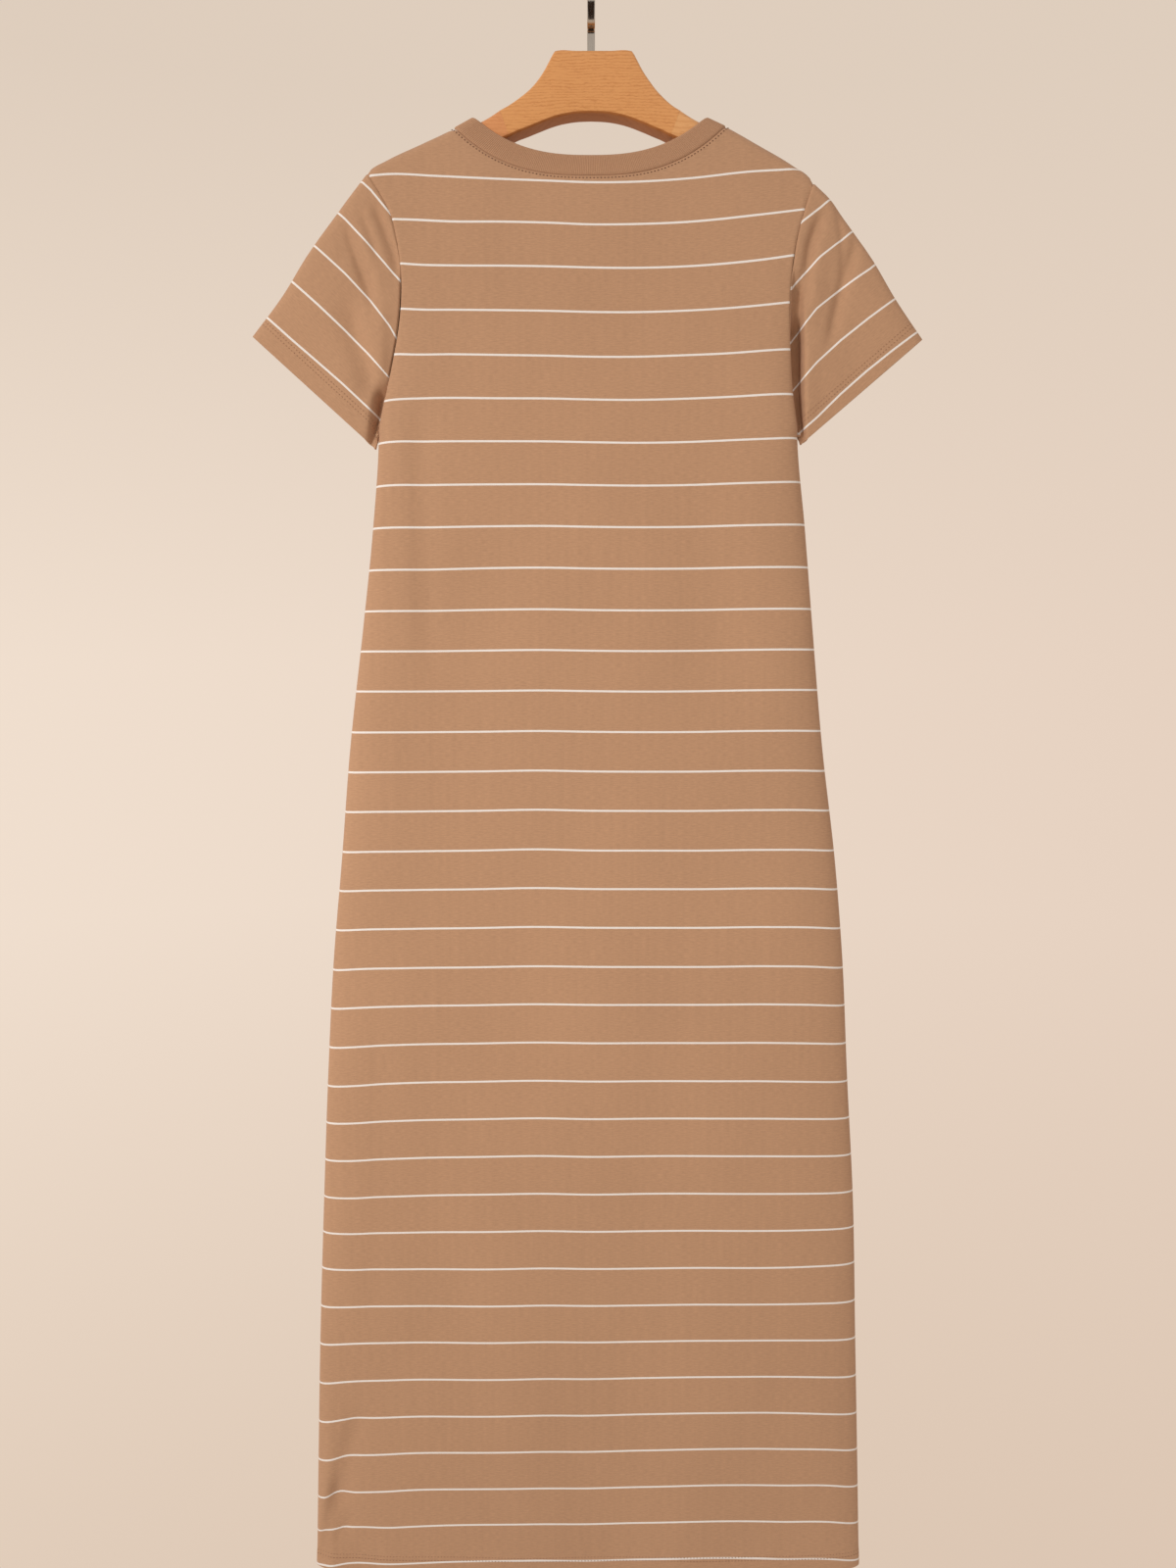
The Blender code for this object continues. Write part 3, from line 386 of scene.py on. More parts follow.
SLEEVE_FOLDS = {
    (-1, BACK): [
        Crease([(0.1960, -0.1820), (0.1857, -0.2076), (0.1764, -0.2332), (0.1725, -0.2560)],
               0.0035, 0.0050, -0.0036),
        Crease([(0.2065, -0.1930), (0.1991, -0.2127), (0.1900, -0.2400)], 0.0035, 0.0040, -0.0018),
        Crease([(0.2225, -0.1990), (0.2161, -0.2212), (0.2060, -0.2486), (0.1930, -0.2850)],
               0.0060, 0.0045, -0.0034),
        Crease([(0.2290, -0.2080), (0.2232, -0.2247), (0.2190, -0.2400)], 0.0040, 0.0045, -0.0010),
        Crease([(0.2060, -0.2080), (0.1950, -0.2400), (0.1880, -0.2700)], 0.0060, 0.0050, 0.0012),
        Crease([(0.1880, -0.2700), (0.1890, -0.3050), (0.1915, -0.3400)], 0.0050, 0.0080, 0.0010),
        Crease([(0.2210, -0.2700), (0.2130, -0.3030), (0.2060, -0.3250), (0.1950, -0.3650)],
               0.0080, 0.0120, -0.0046),
        Crease([(0.1865, -0.3400), (0.1885, -0.3600), (0.1912, -0.3790), (0.1938, -0.3960),
                (0.1955, -0.4400)], 0.0120, 0.0085, -0.0190, 3),
    ],
    (1, BACK): [
        Crease([(0.2125, -0.1890), (0.2035, -0.2085), (0.1985, -0.2240), (0.1955, -0.2495),
                (0.1930, -0.2850)], 0.0045, 0.0055, -0.0050),
        Crease([(0.1874, -0.2400), (0.1880, -0.2600), (0.1888, -0.2900), (0.1892, -0.3500)],
               0.0060, 0.0050, -0.0090, 5),
        Crease([(0.1886, -0.2780), (0.1892, -0.3280), (0.1898, -0.3523), (0.1912, -0.3742),
                (0.1928, -0.3882), (0.1940, -0.4300)], 0.0060, 0.0050, -0.0200, 5),
        Crease([(0.2205, -0.1840), (0.2255, -0.2080), (0.2283, -0.2320), (0.2272, -0.2600)],
               0.0030, 0.0034, -0.0018),
        Crease([(0.2425, -0.2080), (0.2358, -0.2350), (0.2285, -0.2600), (0.2225, -0.2860),
                (0.2160, -0.3200)], 0.0050, 0.0060, -0.0036),
        Crease([(0.2110, -0.2150), (0.2090, -0.2500), (0.2060, -0.2850)], 0.0100, 0.0100, 0.0012),
        Crease([(0.2000, -0.3000), (0.1990, -0.3400), (0.2020, -0.3850)], 0.0040, 0.0100, 0.0016),
    ],
    (-1, FRONT): [
        Crease([(0.1990, -0.1900), (0.1900, -0.2200), (0.1830, -0.2560)], 0.0040, 0.0055, -0.0024),
        Crease([(0.2250, -0.2000), (0.2150, -0.2300), (0.2030, -0.2700)], 0.0045, 0.0040, -0.0020),
    ],
    (1, FRONT): [
        Crease([(0.2020, -0.1950), (0.1950, -0.2250), (0.1900, -0.2600)], 0.0040, 0.0055, -0.0022),
        Crease([(0.2340, -0.2080), (0.2240, -0.2350), (0.2120, -0.2700)], 0.0045, 0.0050, -0.0018),
    ],
}
CREASE_TAPER = 4              # a quarter of a line's length at each end
FRONT_KEPT = 0.0040           # how far a deep trough stays from the sleeve's other face
STRIPE_KNOTS = np.array(list(STRIPE_WAVES))[::-1]
STRIPE_OFFSETS = np.array(list(STRIPE_WAVES.values()))[::-1] / 1000


def stripe_offset(x, z):
    """How far the stripe at a place in the front view lies above its middle."""
    columns = [np.interp(z, STRIPE_KNOTS, column) for column in STRIPE_OFFSETS.T]
    return smooth_curve(STRIPE_SHARES, np.stack(columns, axis=1), x / half_width_at(x, z))


def crease_height(creases, x, z):
    """Troughs and ridges along lines in the front view, fading at their ends."""
    total = np.zeros_like(x)
    for crease in creases:
        near = np.full(x.shape, np.inf)
        beyond, run = np.zeros(x.shape), np.zeros(x.shape)
        done = 0.0
        for (ax, az), (bx, bz) in zip(crease.points, crease.points[1:]):
            dx, dz = bx - ax, bz - az
            length = math.hypot(dx, dz)
            t = np.clip(((x - ax) * dx + (z - az) * dz) / length ** 2, 0.0, 1.0)
            away_x, away_z = x - ax - t * dx, z - az - t * dz
            distance = np.hypot(away_x, away_z)
            closer = distance < near
            near = np.where(closer, distance, near)
            beyond = np.where(closer, away_z * dx - away_x * dz, beyond)
            run = np.where(closer, done + t * length, run)
            done += length
        width = np.where(beyond < 0, crease.before, crease.after)
        taper = smoothstep(run / done * CREASE_TAPER) * smoothstep((1 - run / done) * CREASE_TAPER)
        total = total + crease.height * np.exp(-(near / width) ** crease.power) * taper
    return total


def panel_y(face, x, z):
    """Outer surface of a panel with its creases."""
    creases = crease_height(BODY_CREASES[face], x, z)
    return surface_y(face, x, z) + face * creases * edge_rounding(x, z)


# ---------------------------------------------------------------- panels
SHOULDER_STEPS = 24           # columns of half a panel: over the shoulder,
OVER_STEPS = 8                # on the neckline where it rounds over the arm (as many rows too),
CENTRE_STEPS = 26             # and from there to the middle
HALF_STEPS = SHOULDER_STEPS + OVER_STEPS + CENTRE_STEPS
LEVEL_CROWDING = 1.4          # how much closer the columns of a level row are at its side
OVER_EASE = 0.14              # share of the change to level rows that the rounding takes up
YOKE_STEPS = 12
LEVEL_STEP = 0.0058
ARMHOLE_STEP = 0.0045
FIRST_LEVEL = {BACK: -0.205, FRONT: -0.245}
# Drops of the first rows below the ridge, at even angles over the arm.
OVER_DROPS = RIDGE_DROP * (1.0 - np.cos(np.linspace(0.0, math.pi / 2, OVER_STEPS + 1)))
FINE_STEPS = 400
NECK_FINE_STEPS = 1200
ARMHOLE_FINE_STEPS = 600
UNDER_ARM = 1e-6              # the armhole's lines end this far above the armpit
SEAM_DIP = 0.0012             # depth of the groove that a seam pulls in, and its reach
SEAM_REACH = 0.0009
HEM_STITCHES = [0.0145, 0.0180]    # rises of the two rows above a hem
HEM_DOUBLING = 0.0004         # how far the doubled hem stands out
HEM_EDGE = 0.002
NEAR_SEAM = 0.01
CLOTH_SHARP = 50.0


def neck_columns(side, edge):
    """Places across half a neckline: even angles over the ridge, then even steps to the centre."""
    x = side * edge.half_width * np.linspace(1.0, 0.3, FINE_STEPS)
    drops = ridge_height(x) - neck_edge_z(edge, x)
    over = np.interp(OVER_DROPS, drops, x)
    return np.concatenate([over, over[-1] * np.linspace(1.0, 0.0, CENTRE_STEPS + 1)[1:]])


def armhole_heights(side):
    """Heights on the armhole seam at those drops."""
    top = SHOULDER_END[side][1]
    z = np.linspace(top, top - 5 * RIDGE_DROP, FINE_STEPS)
    drops = ridge_height(side * ARM_SEAM[side](z)) - z
    return np.interp(OVER_DROPS, drops - drops[0], z)


def panel_levels(face):
    """Heights of a panel's level rows."""
    first = FIRST_LEVEL[face]
    above = np.linspace(first, ARMPIT_Z, round((first - ARMPIT_Z) / ARMHOLE_STEP) + 1)
    below = np.linspace(ARMPIT_Z, HEM_Z, round((ARMPIT_Z - HEM_Z) / LEVEL_STEP) + 1)
    return np.concatenate([above, below[1:]])


def half_panel(side, face):
    """Front view places of half a panel, rows from the top edge down, columns from the side in."""
    shoulder_end = SHOULDER_END[side][0]
    shoulder = side * np.linspace(shoulder_end, NECK_POINT, SHOULDER_STEPS + 1)
    neck = neck_columns(side, NECK_SEAM[face])[1:]
    top_x = np.concatenate([shoulder, neck])
    top_z = np.concatenate([ridge_height(shoulder), neck_edge_z(NECK_SEAM[face], neck)])
    top_drop = ridge_height(top_x) - top_z
    top_share = np.abs(top_x) / shoulder_end
    level_share = 1.0 - np.linspace(0.0, 1.0, HALF_STEPS + 1) ** LEVEL_CROWDING
    seam_z = armhole_heights(side)
    rows = []
    for k, drop in enumerate(OVER_DROPS):
        share = top_share + (level_share - top_share) * OVER_EASE * k / OVER_STEPS
        x = side * ARM_SEAM[side](seam_z[k]) * share
        z = ridge_height(x) - top_drop - drop
        z[0] = seam_z[k]
        rows.append((x, z))
    last_z = rows[-1][1]
    for step in range(1, YOKE_STEPS + 1):
        part = step / (YOKE_STEPS + 1)
        z = last_z + (FIRST_LEVEL[face] - last_z) * part
        share = top_share + (level_share - top_share) * (OVER_EASE + (1.0 - OVER_EASE) * part)
        rows.append((side * ARM_SEAM[side](z[0]) * share, z))
    for level in panel_levels(face):
        row = side * edge_half_width(side, level) * level_share
        rows.append((row, np.full(HALF_STEPS + 1, level)))
    return [np.array(places) for places in zip(*rows)]


def distance_to(line, points):
    """Distance of each point from a line given by close points."""
    tree = KDTree(len(line))
    for i, place in enumerate(line):
        tree.insert(place, i)
    tree.balance()
    return np.array([tree.find(point)[2] for point in points])


def seam_line(face):
    """The neck seam of one face, as close points."""
    return neck_line(NECK_SEAM, face, np.linspace(-1.0, 1.0, NECK_FINE_STEPS))


def armhole_line(side, face):
    z = np.linspace(SHOULDER_END[side][1], ARMPIT_Z + UNDER_ARM, ARMHOLE_FINE_STEPS)
    x = side * ARM_SEAM[side](z)
    return np.stack([x, surface_y(face, x * (1 - 1e-9), z), z], axis=-1)


def dip(distance, depth=SEAM_DIP, reach=SEAM_REACH):
    return depth * np.exp(-(distance / reach) ** 2)


def striped_grid(p, stripe, q, edges):
    """A grid of (p, stripe, q) points cut along both edges of each stripe.

    Returns the cut points, the quads or polygons as index lists, and which of them are stripe."""
    bm = bmesh.new()
    rows, columns = p.shape
    verts = [[bm.verts.new((p[i, j], stripe[i, j], q[i, j])) for j in range(columns)]
             for i in range(rows)]
    for upper, lower in zip(verts, verts[1:]):
        for j in range(columns - 1):
            bm.faces.new((upper[j], lower[j], lower[j + 1], upper[j + 1]))
    low, high = stripe.min(), stripe.max()
    for height in [middle + edge for middle, half in edges for edge in (-half, half)]:
        if low < height < high:
            bmesh.ops.bisect_plane(
                bm, geom=bm.verts[:] + bm.edges[:] + bm.faces[:], dist=1e-7,
                plane_co=(0.0, height, 0.0), plane_no=(0.0, 1.0, 0.0))
    bm.verts.index_update()
    points = np.array([v.co for v in bm.verts])
    faces = [[v.index for v in face.verts] for face in bm.faces]
    bm.free()
    centres = np.array([points[face, 1].mean() for face in faces])
    white = np.zeros(len(faces), bool)
    for middle, half in edges:
        white |= np.abs(centres - middle) < half
    return points, faces, white


def add_object(name, data):
    made = bpy.data.objects.new(name, data)
    bpy.context.scene.collection.objects.link(made)
    return made


def mesh_piece(name, points, faces, materials, slots=None, knit=None, turn=False, sharp=None):
    """A new object, with its faces turned outwards and edges over an angle sharp where asked."""
    mesh = bpy.data.meshes.new(name)
    mesh.from_pydata(np.asarray(points).tolist(), [], faces)
    for material in materials:
        mesh.materials.append(material)
    if slots is not None:
        mesh.polygons.foreach_set("material_index", np.asarray(slots, np.int32))
    if knit is not None:
        layer = mesh.attributes.new("knit", "FLOAT_VECTOR", "POINT")
        layer.data.foreach_set("vector", np.asarray(knit, np.float32).ravel())
    mesh.shade_smooth()
    mesh.validate()
    if turn:
        bm = bmesh.new()
        bm.from_mesh(mesh)
        bmesh.ops.recalc_face_normals(bm, faces=bm.faces[:])
        bm.to_mesh(mesh)
        bm.free()
    if sharp is not None:
        mesh.set_sharp_from_angle(angle=math.radians(sharp))
    return add_object(name, mesh)


def between(first, second):
    """Quads between two closed rings of point numbers."""
    return np.stack([first, np.roll(first, -1), np.roll(second, -1), second], axis=1).tolist()


def tube_faces(rings, sides, start=0):
    """Quads along a tube of rings of points, then a face over each of its ends."""
    numbers = start + np.arange(rings * sides).reshape(rings, sides)
    faces = [quad for pair in zip(numbers, numbers[1:]) for quad in between(*pair)]
    return faces + [numbers[0][::-1].tolist(), numbers[-1].tolist()]


def outer_normals(points, faces):
    mesh = bpy.data.meshes.new("normals")
    mesh.from_pydata(points.tolist(), [], faces)
    normals = np.zeros(len(points) * 3, np.float32)
    mesh.vertex_normals.foreach_get("vector", normals)
    bpy.data.meshes.remove(mesh)
    return normals.reshape(-1, 3).astype(float)


def cloth_piece(name, points, faces, white, materials, knit, middle):
    """A cloth wall: the outer faces, the same set in by the wall, and the strip between edges."""
    normals = outer_normals(points, faces)
    if np.sum(normals * (points - middle)) < 0:
        faces = [face[::-1] for face in faces]
        normals = -normals
    count = len(points)
    edges = {pair: None for face in faces for pair in zip(face, face[1:] + face[:1])}
    rim = [(a, b) for a, b in edges if (b, a) not in edges]
    all_faces = faces + [[i + count for i in face[::-1]] for face in faces]
    all_faces += [[b, a, a + count, b + count] for a, b in rim]
    slots = np.concatenate([white, white, np.zeros(len(rim), bool)])
    return mesh_piece(name, np.vstack([points, points - WALL * normals]), all_faces, materials,
                      slots, np.vstack([knit, knit]), sharp=CLOTH_SHARP)


def build_panel(name, face, materials):
    halves = [half_panel(side, face) for side in (-1, 1)]
    x, z = (np.concatenate([left, right[:, -2::-1]], axis=1) for left, right in zip(*halves))
    stripe = z - stripe_offset(x.ravel(), z.ravel()).reshape(x.shape)
    edges = [(height, STRIPE_HALF) for height in STRIPE_HEIGHTS]
    places, faces, white = striped_grid(x, stripe, z, edges)
    x, knit_z, z = places.T
    points = np.stack([x, panel_y(face, x, z), z], axis=-1)
    sink = dip(distance_to(seam_line(face), points))
    for side in (-1, 1):
        far = distance_to(armhole_line(side, face), points)
        sink = np.maximum(sink, dip(np.where(z > ARMPIT_Z - NEAR_SEAM, far, 1.0)))
    normals = facing(outer_normals(points, faces), np.array([0.0, face, 0.0]))
    doubled = smoothstep((HEM_Z + HEM_STITCHES[1] - z) / HEM_EDGE) * HEM_DOUBLING
    points = points + normals * (doubled - sink)[:, None]
    points[:, 1] = face * np.maximum(face * points[:, 1], SEAM_GAP / 2)
    knit = np.stack([x, knit_z, np.zeros_like(x)], axis=-1)
    # the panel's outer side faces away from this place
    beyond = np.array([0.0, -face * 0.4, -0.8])
    return cloth_piece(name, points, faces, white, materials, knit, beyond)


# ---------------------------------------------------------------- sleeves
SLEEVE_ROWS = 84
SEAM_ROWS = [0.0, 0.003, 0.007, 0.012, 0.019, 0.028]    # closer rows beside the seam
FIRST_ROW = 0.04
SLEEVE_AROUND = 64
SLEEVE_SQUARENESS = 10.0
SLEEVE_TAPER = 0.25
SLEEVE_LIFT = 0.35
SLEEVE_BOW_FADE = 1.3
SEAM_HOLD = 0.014             # share of a sleeve over which its folds begin at the seam
SAME_PLACE = 1e-6


class SleeveShape:
    """A sleeve's outer surface by t, armhole to hem, and share, ridge to underarm."""

    def __init__(self, side):
        self.side = side
        name = {-1: "left", 1: "right"}[side]
        z = np.linspace(SHOULDER_END[side][1], ARMPIT_Z + UNDER_ARM, FINE_STEPS)
        x = ARM_SEAM[side](z)
        drop = ridge_height(side * x) - z
        y = seam_depth(z) * ridge_rounding(drop - drop[0])
        self.ring = np.stack([x, y, z], axis=-1)
        run = run_along(self.ring)
        self.ring_share = run / run[-1]
        self.ridge_x = table_curve(SLEEVE_RIDGE, "t", name + "_x")
        self.ridge_z = table_curve(SLEEVE_RIDGE, "t", name + "_z")
        self.depth = table_curve(SLEEVE_RIDGE, "t", "depth")
        self.hem = np.array([side * self.ridge_x(1.0), self.ridge_z(1.0)])
        corner, shoulder = (np.array([side * x, z]) for x, z in (SLEEVE_CORNER[side],
                                                                 SHOULDER_END[side]))
        self.along = (corner - self.hem) / np.linalg.norm(corner - self.hem)
        out = np.array([self.along[1], -self.along[0]])
        self.out = facing(out, self.hem - shoulder)

    def points(self, face, t, share):
        ring = points_at(share, self.ring_share, self.ring)
        end = self.ring[-1]
        fade = (1.0 - t) ** SLEEVE_BOW_FADE
        place = []
        for axis, ridge, corner in zip((0, 2), (self.ridge_x, self.ridge_z),
                                       SLEEVE_CORNER[self.side]):
            first = ridge(0.0)
            bow = ring[..., axis] - first - (end[axis] - first) * share
            under = end[axis] + (corner - end[axis]) * t
            place.append(ridge(t) + (under - ridge(t)) * share + bow * fade)
        x, z = place
        rounding = np.abs(2.0 * share - 1.0) ** SLEEVE_SQUARENESS
        rounding = np.sqrt(np.clip(1.0 - rounding, 0.0, 1.0))
        profile = rounding * (1.0 - SLEEVE_TAPER * share ** 2)
        lifted = smoothstep(t / SLEEVE_LIFT)
        y = ring[..., 1] * (1.0 - lifted) + self.depth(t) * profile * lifted
        for crease in SLEEVE_CREASES:
            if crease.side == self.side:
                away = ((t - crease.t) / crease.width_t) ** 2
                away = away + ((share - crease.s) / crease.width_s) ** 2
                y = y + crease.height * np.exp(-away) * lifted * profile
        back, front = (crease_height(SLEEVE_FOLDS[self.side, each], x, z)
                       for each in (BACK, FRONT))
        folds = np.where(face == BACK, back, front) * rounding * smoothstep(t / SEAM_HOLD)
        y = np.maximum(y + folds, np.minimum(y, FRONT_KEPT - y))
        return np.stack([self.side * (x + SEAM_GAP / 2), face * y, z], axis=-1)

    def pattern(self, x, z):
        """Places along the hem line and outwards from it, in the front view."""
        dx, dz = x - self.hem[0], z - self.hem[1]
        return dx * self.along[0] + dz * self.along[1], dx * self.out[0] + dz * self.out[1]

    def stripe_number(self, x, z):
        """1 at the middle of the first stripe, 2 at the second, and so on towards the hem."""
        reach, out = self.pattern(x, z)
        rows = SLEEVE_STRIPES[self.side]
        lines = np.array([np.interp(reach, SLEEVE_REACH, row) for row in rows])
        number = 1.0 + (out - lines[0]) / SLEEVE_PITCH
        for k in range(len(lines) - 1):
            part = (out - lines[k]) / (lines[k + 1] - lines[k])
            number = np.where(out > lines[k], k + 1 + part, number)
        beyond = len(lines) + (out - lines[-1]) / SLEEVE_PITCH
        return np.where(out > lines[-1], beyond, number)


def round_place(around):
    """The face and the share of a place round a sleeve: 0 to 1 down the back, then up the front."""
    return np.where(around <= 1.0, BACK, FRONT), 1.0 - np.abs(1.0 - around)


def build_sleeve(name, side, materials):
    shape = SleeveShape(side)
    t = np.concatenate([SEAM_ROWS, np.linspace(FIRST_ROW, 1.0, SLEEVE_ROWS)])
    half = (1.0 - np.cos(np.linspace(0.0, math.pi, SLEEVE_AROUND + 1))) / 2
    around = np.concatenate([half, 2.0 - half[-2::-1]])
    grid_t, grid_a = np.meshgrid(t, around, indexing="ij")
    face, share = round_place(grid_a)
    flat = shape.points(face, grid_t, share)
    number = shape.stripe_number(flat[..., 0], flat[..., 2])
    edges = [(k, STRIPE_HALF / SLEEVE_PITCH) for k in range(7)]
    places, faces, white = striped_grid(grid_t, number, grid_a, edges)
    # join the tube where it closes on its ridge
    t, number, around = places.T
    keys = {round(t[i], 6): i for i in np.flatnonzero(np.abs(around) < SAME_PLACE)}
    swap = {i: keys.get(round(t[i], 6), i)
            for i in np.flatnonzero(np.abs(around - 2.0) < SAME_PLACE)}
    faces = [[swap.get(i, i) for i in f] for f in faces]
    used = np.unique([i for f in faces for i in f])
    renumber = {old: new for new, old in enumerate(used)}
    faces = [[renumber[i] for i in f] for f in faces]
    t, number, around = places[used].T
    face, share = round_place(around)
    points = shape.points(face, t, share)
    middle = points.mean(axis=0)
    normals = facing(outer_normals(points, faces), points - middle)
    line = np.vstack([shape.points(each, np.zeros(FINE_STEPS), np.linspace(0, 1, FINE_STEPS))
                      for each in (BACK, FRONT)])
    points = points - normals * dip(distance_to(line, points))[:, None]
    reach, _ = shape.pattern(points[:, 0], points[:, 2])
    knit = np.stack([reach, number * SLEEVE_PITCH, np.zeros_like(reach)], axis=-1)
    return cloth_piece(name, points, faces, white, materials, knit, middle)


# ---------------------------------------------------------------- neck band and stitches
RIB_PITCH = 0.00165
RIB_HEIGHT = 0.00030
RIB_SAMPLES = 5               # columns to one rib
BAND_ROWS = np.array([0.0, 0.02, 0.05, 0.10, 0.2, 0.3, 0.4, 0.5, 0.6, 0.7, 0.8, 0.88, 0.94, 0.98,
                      1.0])
BAND_FOLD = 0.0016            # how far from the rim the folded edge begins to round
BAND_FOLD_DROP = 0.0010       # how far its outer face falls there, and its inner face rises
BAND_FOLD_RISE = 0.0008
BAND_FOLD_SHARE = 0.999       # kept just short of upright at the rim
BAND_DIP = (0.0010, 0.0008)   # depth and reach of the groove at its seam
RIB_START = 0.001             # from the seam to full ribs
RIB_END = 1 / 12              # share of the width over which the ribs end at the rim


def neck_ring(edges):
    """A closed neckline: the back from -X to +X, then the front."""
    share = np.sin(np.linspace(-math.pi / 2, math.pi / 2, NECK_FINE_STEPS + 1))
    back, front = (neck_line(edges, face, share) for face in (BACK, FRONT))
    return np.concatenate([back, front[-2::-1]])


def build_neck_band(name, materials):
    seam, rim = neck_ring(NECK_SEAM), neck_ring(NECK_RIM)
    run = run_along(seam)
    count = round(run[-1] / RIB_PITCH) * RIB_SAMPLES
    at = np.arange(count) * run[-1] / count
    seam, rim = points_at(at, run, seam), points_at(at, run, rim)
    part = BAND_ROWS[:, None]
    grid = seam[None] * (1 - part[..., None]) + rim[None] * part[..., None]
    down = np.gradient(grid, BAND_ROWS, axis=0)
    around = (np.roll(grid, -1, axis=1) - np.roll(grid, 1, axis=1)) / 2
    normals = np.cross(around, down)
    normals /= np.linalg.norm(normals, axis=-1, keepdims=True)
    normals = facing(normals, grid * (0.0, 1.0, 0.0))
    width = np.linalg.norm(rim - seam, axis=-1)
    from_seam = part * width
    wave = RIB_HEIGHT * np.cos(2 * math.pi * np.arange(count) / RIB_SAMPLES)
    wave = wave * smoothstep((1.0 - part) / RIB_END) * smoothstep(from_seam / RIB_START)
    fold = np.clip((from_seam - width + BAND_FOLD) / BAND_FOLD, 0.0, 1.0)
    fall = BAND_FOLD_DROP * (1.0 - np.sqrt(1.0 - fold ** 2 * BAND_FOLD_SHARE))
    proud = RIB_PROUD + wave - dip(from_seam, *BAND_DIP) - fall
    deep = RIB_WALL - RIB_PROUD - BAND_FOLD_RISE * fold ** 2
    points = np.concatenate([grid + normals * proud[..., None], grid - normals * deep[..., None]])
    rows = len(BAND_ROWS)
    rings = np.arange(2 * rows * count).reshape(2 * rows, count)
    rings = np.concatenate([rings[:rows], rings[:rows - 1:-1], rings[:1]])
    faces = [quad for pair in zip(rings, rings[1:]) for quad in between(*pair)]
    knit = np.stack([np.broadcast_to(at, from_seam.shape), from_seam, np.zeros_like(from_seam)],
                    axis=-1).reshape(-1, 3)
    return mesh_piece(name, points.reshape(-1, 3), faces, materials,
                      knit=np.vstack([knit, knit]), turn=True)


STITCH_PITCH = 0.0032
STITCH_LENGTH = 0.0017
STITCH_RADIUS = {"neck": 0.00050, "hem": 0.00034}
STITCH_SIDES = 6
NECK_STITCHES = 0.0026        # from the neck seam
NECK_STITCHES_END = 0.0006    # how far below the ridge they end
HEM_ENDS = 1.53               # angle whose sine is the share of the half width that a row reaches
HEM_WAVE = 0.15               # share of the stripes' waves that the rows follow
SAMPLE_STEP = 0.0004
LINE_POINTS = 1500
ROUND_START = 0.012           # the rows round a sleeve begin and end this far from its ridge
ROUND_POINTS = 900
T_STEP = 0.002
# A stitch's rings: place along it, share of its radius, and lift in radii.
STITCH_RINGS = ((-0.5, 0.25, -0.6), (-0.25, 1.0, 0.1), (0.25, 1.0, 0.1), (0.5, 0.25, -0.6))


def stitches(name, lines, kind, material):
    """Short raised threads along lines; each line is its points and the cloth's normals there."""
    radius = STITCH_RADIUS[kind]
    points, faces = [], []
    turns = np.linspace(0, 2 * math.pi, STITCH_SIDES, endpoint=False)
    for line, normals in lines:
        run = run_along(line)
        count = int(run[-1] / STITCH_PITCH)
        for middle in (np.arange(count) + 0.5) * run[-1] / count:
            centre = points_at(middle, run, line)
            along = points_at(middle + SAMPLE_STEP, run, line) - centre
            along /= np.linalg.norm(along)
            side = np.cross(along, points_at(middle, run, normals))
            side /= np.linalg.norm(side)
            up = np.cross(side, along)
            faces += tube_faces(len(STITCH_RINGS), STITCH_SIDES, len(points))
            for place, size, lift in STITCH_RINGS:
                for turn in turns:
                    offset = side * math.cos(turn) * size + up * (math.sin(turn) * size + lift)
                    points.append(centre + along * place * STITCH_LENGTH + offset * radius)
    return mesh_piece(name, points, faces, [material], turn=True)


def panel_line(face, x, z, raised=0.0):
    """Points of a panel's surface and its normals there."""
    y = panel_y(face, x, z)
    ways = ((SAMPLE_STEP, 0.0), (0.0, SAMPLE_STEP))
    slopes = [(panel_y(face, x + dx, z + dz) - panel_y(face, x - dx, z - dz)) / (2 * SAMPLE_STEP)
              for dx, dz in ways]
    normal = np.stack([-slopes[0], np.ones_like(x), -slopes[1]], axis=-1) * face
    normal /= np.linalg.norm(normal, axis=1)[:, None]
    return np.stack([x, y + face * raised, z], axis=-1), normal


def neck_stitch_line(face):
    """The topstitching below the neck seam."""
    seam = seam_line(face)
    step = np.gradient(seam, axis=0)
    away = np.stack([step[:, 2], -step[:, 0]], axis=-1)
    away /= np.linalg.norm(away, axis=1)[:, None]
    away *= np.sign(-away[:, 1:])
    x, z = (seam[:, [0, 2]] + away * NECK_STITCHES).T
    keep = ridge_height(x) - z > NECK_STITCHES_END
    return panel_line(face, x[keep], z[keep])


def hem_stitch_lines(face):
    """Two rows above the skirt's hem; the lower lies on the doubled cloth."""
    lines = []
    share = np.sin(np.linspace(-1.0, 1.0, LINE_POINTS) * HEM_ENDS)
    for rise, raised in zip(HEM_STITCHES, (HEM_DOUBLING, 0.0)):
        z = np.full(share.shape, HEM_Z + rise)
        x = share * half_width_at(share, z)
        lines.append(panel_line(face, x, z + stripe_offset(x, z) * HEM_WAVE, raised))
    return lines


